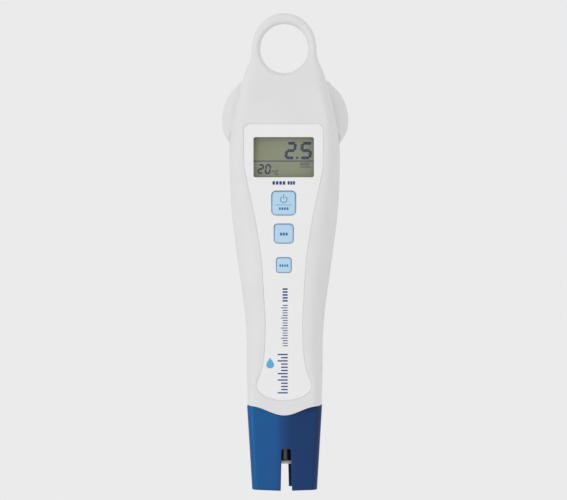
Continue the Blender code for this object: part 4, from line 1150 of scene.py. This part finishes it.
def probe():
    """Probe stem in its holder, with the seal, end face and electrodes."""
    low, high = node_box("probe_holder")
    rows = ((low.z, 0.3), (low.z + 0.3, 0.0), (SEAL_Z - 1.0, 0.0), (SEAL_Z - 1.0, 0.8),
            (SEAL_Z + 1.0, 0.8), (SEAL_Z + 1.0, 0.0), (high.z - 0.2, 0.0), (high.z, 0.2))
    rings = [[(x, y, z) for x, y in ridged_section(HOLDER_SIZE, inset, 120)] for z, inset in rows]
    bore = turned(((4.9, 10), (4.9, 24), (6.0, 24), (6.0, 26), (4.9, 26), (4.9, 50)), (0, 0))
    part("holder_block", loft(rings), "inner_plastic", "probe_holder", [bore])
    outer, inner = (ridged_section(HOLDER_SIZE, inset, 120) for inset in (-0.25, 0.55))
    angles = spaced(0.0, 2 * pi, 17)[:-1]
    band = [[((xo + xi) / 2 + (xo - xi) / 2 * cos(a), (yo + yi) / 2 + (yo - yi) / 2 * cos(a),
              SEAL_Z + 0.7 * sin(a)) for a in angles] for (xo, yo), (xi, yi) in zip(outer, inner)]
    part("holder_ring", loft(band, closed=True), "seal_rubber", "holder_seal")
    low, high = node_box("probe_stem")
    collar = high.z - 4.0 + GAP
    stem = [(0.02, low.z + 2.0), (2.5, low.z + 2.0), (2.5, low.z), (PROBE_RADIUS, low.z),
            (PROBE_RADIUS, collar), (6.2, collar), (6.2, collar + 1.7), (5.0, high.z), (2.6, high.z),
            (2.6, low.z + 3.0), (0.02, low.z + 3.0)]
    part("stem_body", turned(softened(stem, 0.18), (0, 0)), "black_plastic", "probe_stem")
    low, high = node_box("probe_end_face")
    face = [(0.02, low.z), (PROBE_RADIUS, low.z), (PROBE_RADIUS, high.z), (0.02, high.z)]
    holes = [turned(((1.2, 5), (1.2, 20)), (side * 2.2, 0), "Z", 32) for side in (-1, 1)]
    part("end_disc", turned(softened(face, 0.3, 5), (0, 0)), "probe_face", "probe_end_face", holes)
    for node, x in (("electrode_left", -2.2), ("electrode_right", 2.2)):
        low, high = node_box(node)
        pin = [(0.02, low.z), (0.8, low.z), (0.95, low.z + 0.2), (0.95, high.z), (0.02, high.z)]
        part(f"{node}_fine", turned(softened(pin, 0.08), (x, 0), "Z", 32), "graphite", node)


# ---- whole pen, stage and camera

def inner_parts():
    """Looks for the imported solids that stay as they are, sealed inside the casing."""
    slots = {solid["node"]: solid["material_slot"] for solid in frame["record"]["subparts"]}
    for name, obj in frame["nodes"].items():
        if not obj.hide_render:
            obj.data.materials.clear()
            obj.data.materials.append(LOOKS[slots[name]])


def placed(name, data, place, ahead):
    """Light or camera at a place, pointing ahead."""
    obj = bpy.data.objects.new(name, data)
    obj.location = place
    obj.rotation_mode = "QUATERNION"
    obj.rotation_quaternion = ahead.to_track_quat("-Z", "Y")
    bpy.context.scene.collection.objects.link(obj)
    return obj


def area_light(name, place, target, size, power):
    """Soft rectangular light."""
    light = bpy.data.lights.new(name, "AREA")
    light.shape = "RECTANGLE"
    light.size, light.size_y = size
    light.energy = power
    return placed(name, light, place, Vector(target) - Vector(place))


def stage():
    """Pale floor under the shroud's travel, pale surroundings and soft light from the left."""
    bm = bmesh.new()
    bmesh.ops.create_grid(bm, x_segments=40, y_segments=40, size=4000.0)
    for v in bm.verts:
        v.co.z = FLOOR_Z
    floor = mesh_object("floor", bm)
    look = Look("floor_paper", 1.0, Base_Color=(0.04, 0.04, 0.04, 1.0), Specular_IOR_Level=0.0,
                Emission_Color=(1.0, 1.0, 1.0, 1.0), Emission_Strength=FLOOR_GLOW)
    floor.data.materials.append(look.material)
    world = bpy.data.worlds.new("surroundings")
    world.use_nodes = True
    background = world.node_tree.nodes["Background"]
    background.inputs["Color"].default_value = (1.0, 1.0, 1.0, 1.0)
    background.inputs["Strength"].default_value = WORLD_GLOW
    bpy.context.scene.world = world
    area_light("key_light", KEY_PLACE, KEY_TARGET, KEY_SIZE, KEY_POWER)
    side_light = area_light("side_light", SIDE_PLACE, SIDE_TARGET, SIDE_SIZE, SIDE_POWER)
    side_light.data.color = SIDE_COLOUR
    lit = bpy.data.collections.new("lit_from_the_side")
    lit.objects.link(bpy.data.objects["shroud_sleeve"])
    side_light.light_linking.receiver_collection = lit
    bpy.context.scene.view_settings.view_transform = "Standard"


FLOOR_Z = -36.0
FLOOR_GLOW = 0.797
WORLD_GLOW = 0.83
KEY_PLACE = (-0.50, -0.62, 0.22)
KEY_TARGET = (0.0, 0.0, 0.05)
KEY_SIZE = (0.46, 0.46)
KEY_POWER = 1.0
SIDE_PLACE = (-0.33, -0.19, 0.03)
SIDE_TARGET = (0.0, -0.01, 0.015)
SIDE_COLOUR = (0.0, 0.95, 1.0)
SIDE_SIZE = (0.08, 0.1)
SIDE_POWER = 1.9

CAMERA_DISTANCE = 860.0
CAMERA_TURN = 1.5
FRAME_WIDTH = 215.9
AIM = (-0.5, 0.0, 90.75)


def camera():
    """Level view of the front from a little to the right."""
    data = bpy.data.cameras.new("camera")
    data.sensor_width = 36.0
    data.lens = data.sensor_width * CAMERA_DISTANCE / FRAME_WIDTH
    data.clip_start, data.clip_end = 0.01, 20.0
    turn = radians(CAMERA_TURN)
    away = Vector((sin(turn), -cos(turn), 0.0))
    place = (Vector(AIM) + away * CAMERA_DISTANCE) * MM
    bpy.context.scene.camera = placed("camera", data, place, -away)


def build():
    """The whole pen on its stage."""
    camera()
    front_shell()
    rear_shell()
    label_sheet()
    display()
    key_marks({name: key_crown(name, z, side) for name, z, side in KEYS})
    label_print()
    battery()
    cap_shell()
    cap_coil()
    screws()
    shroud_sleeve()
    probe()
    inner_parts()
    stage()


build()
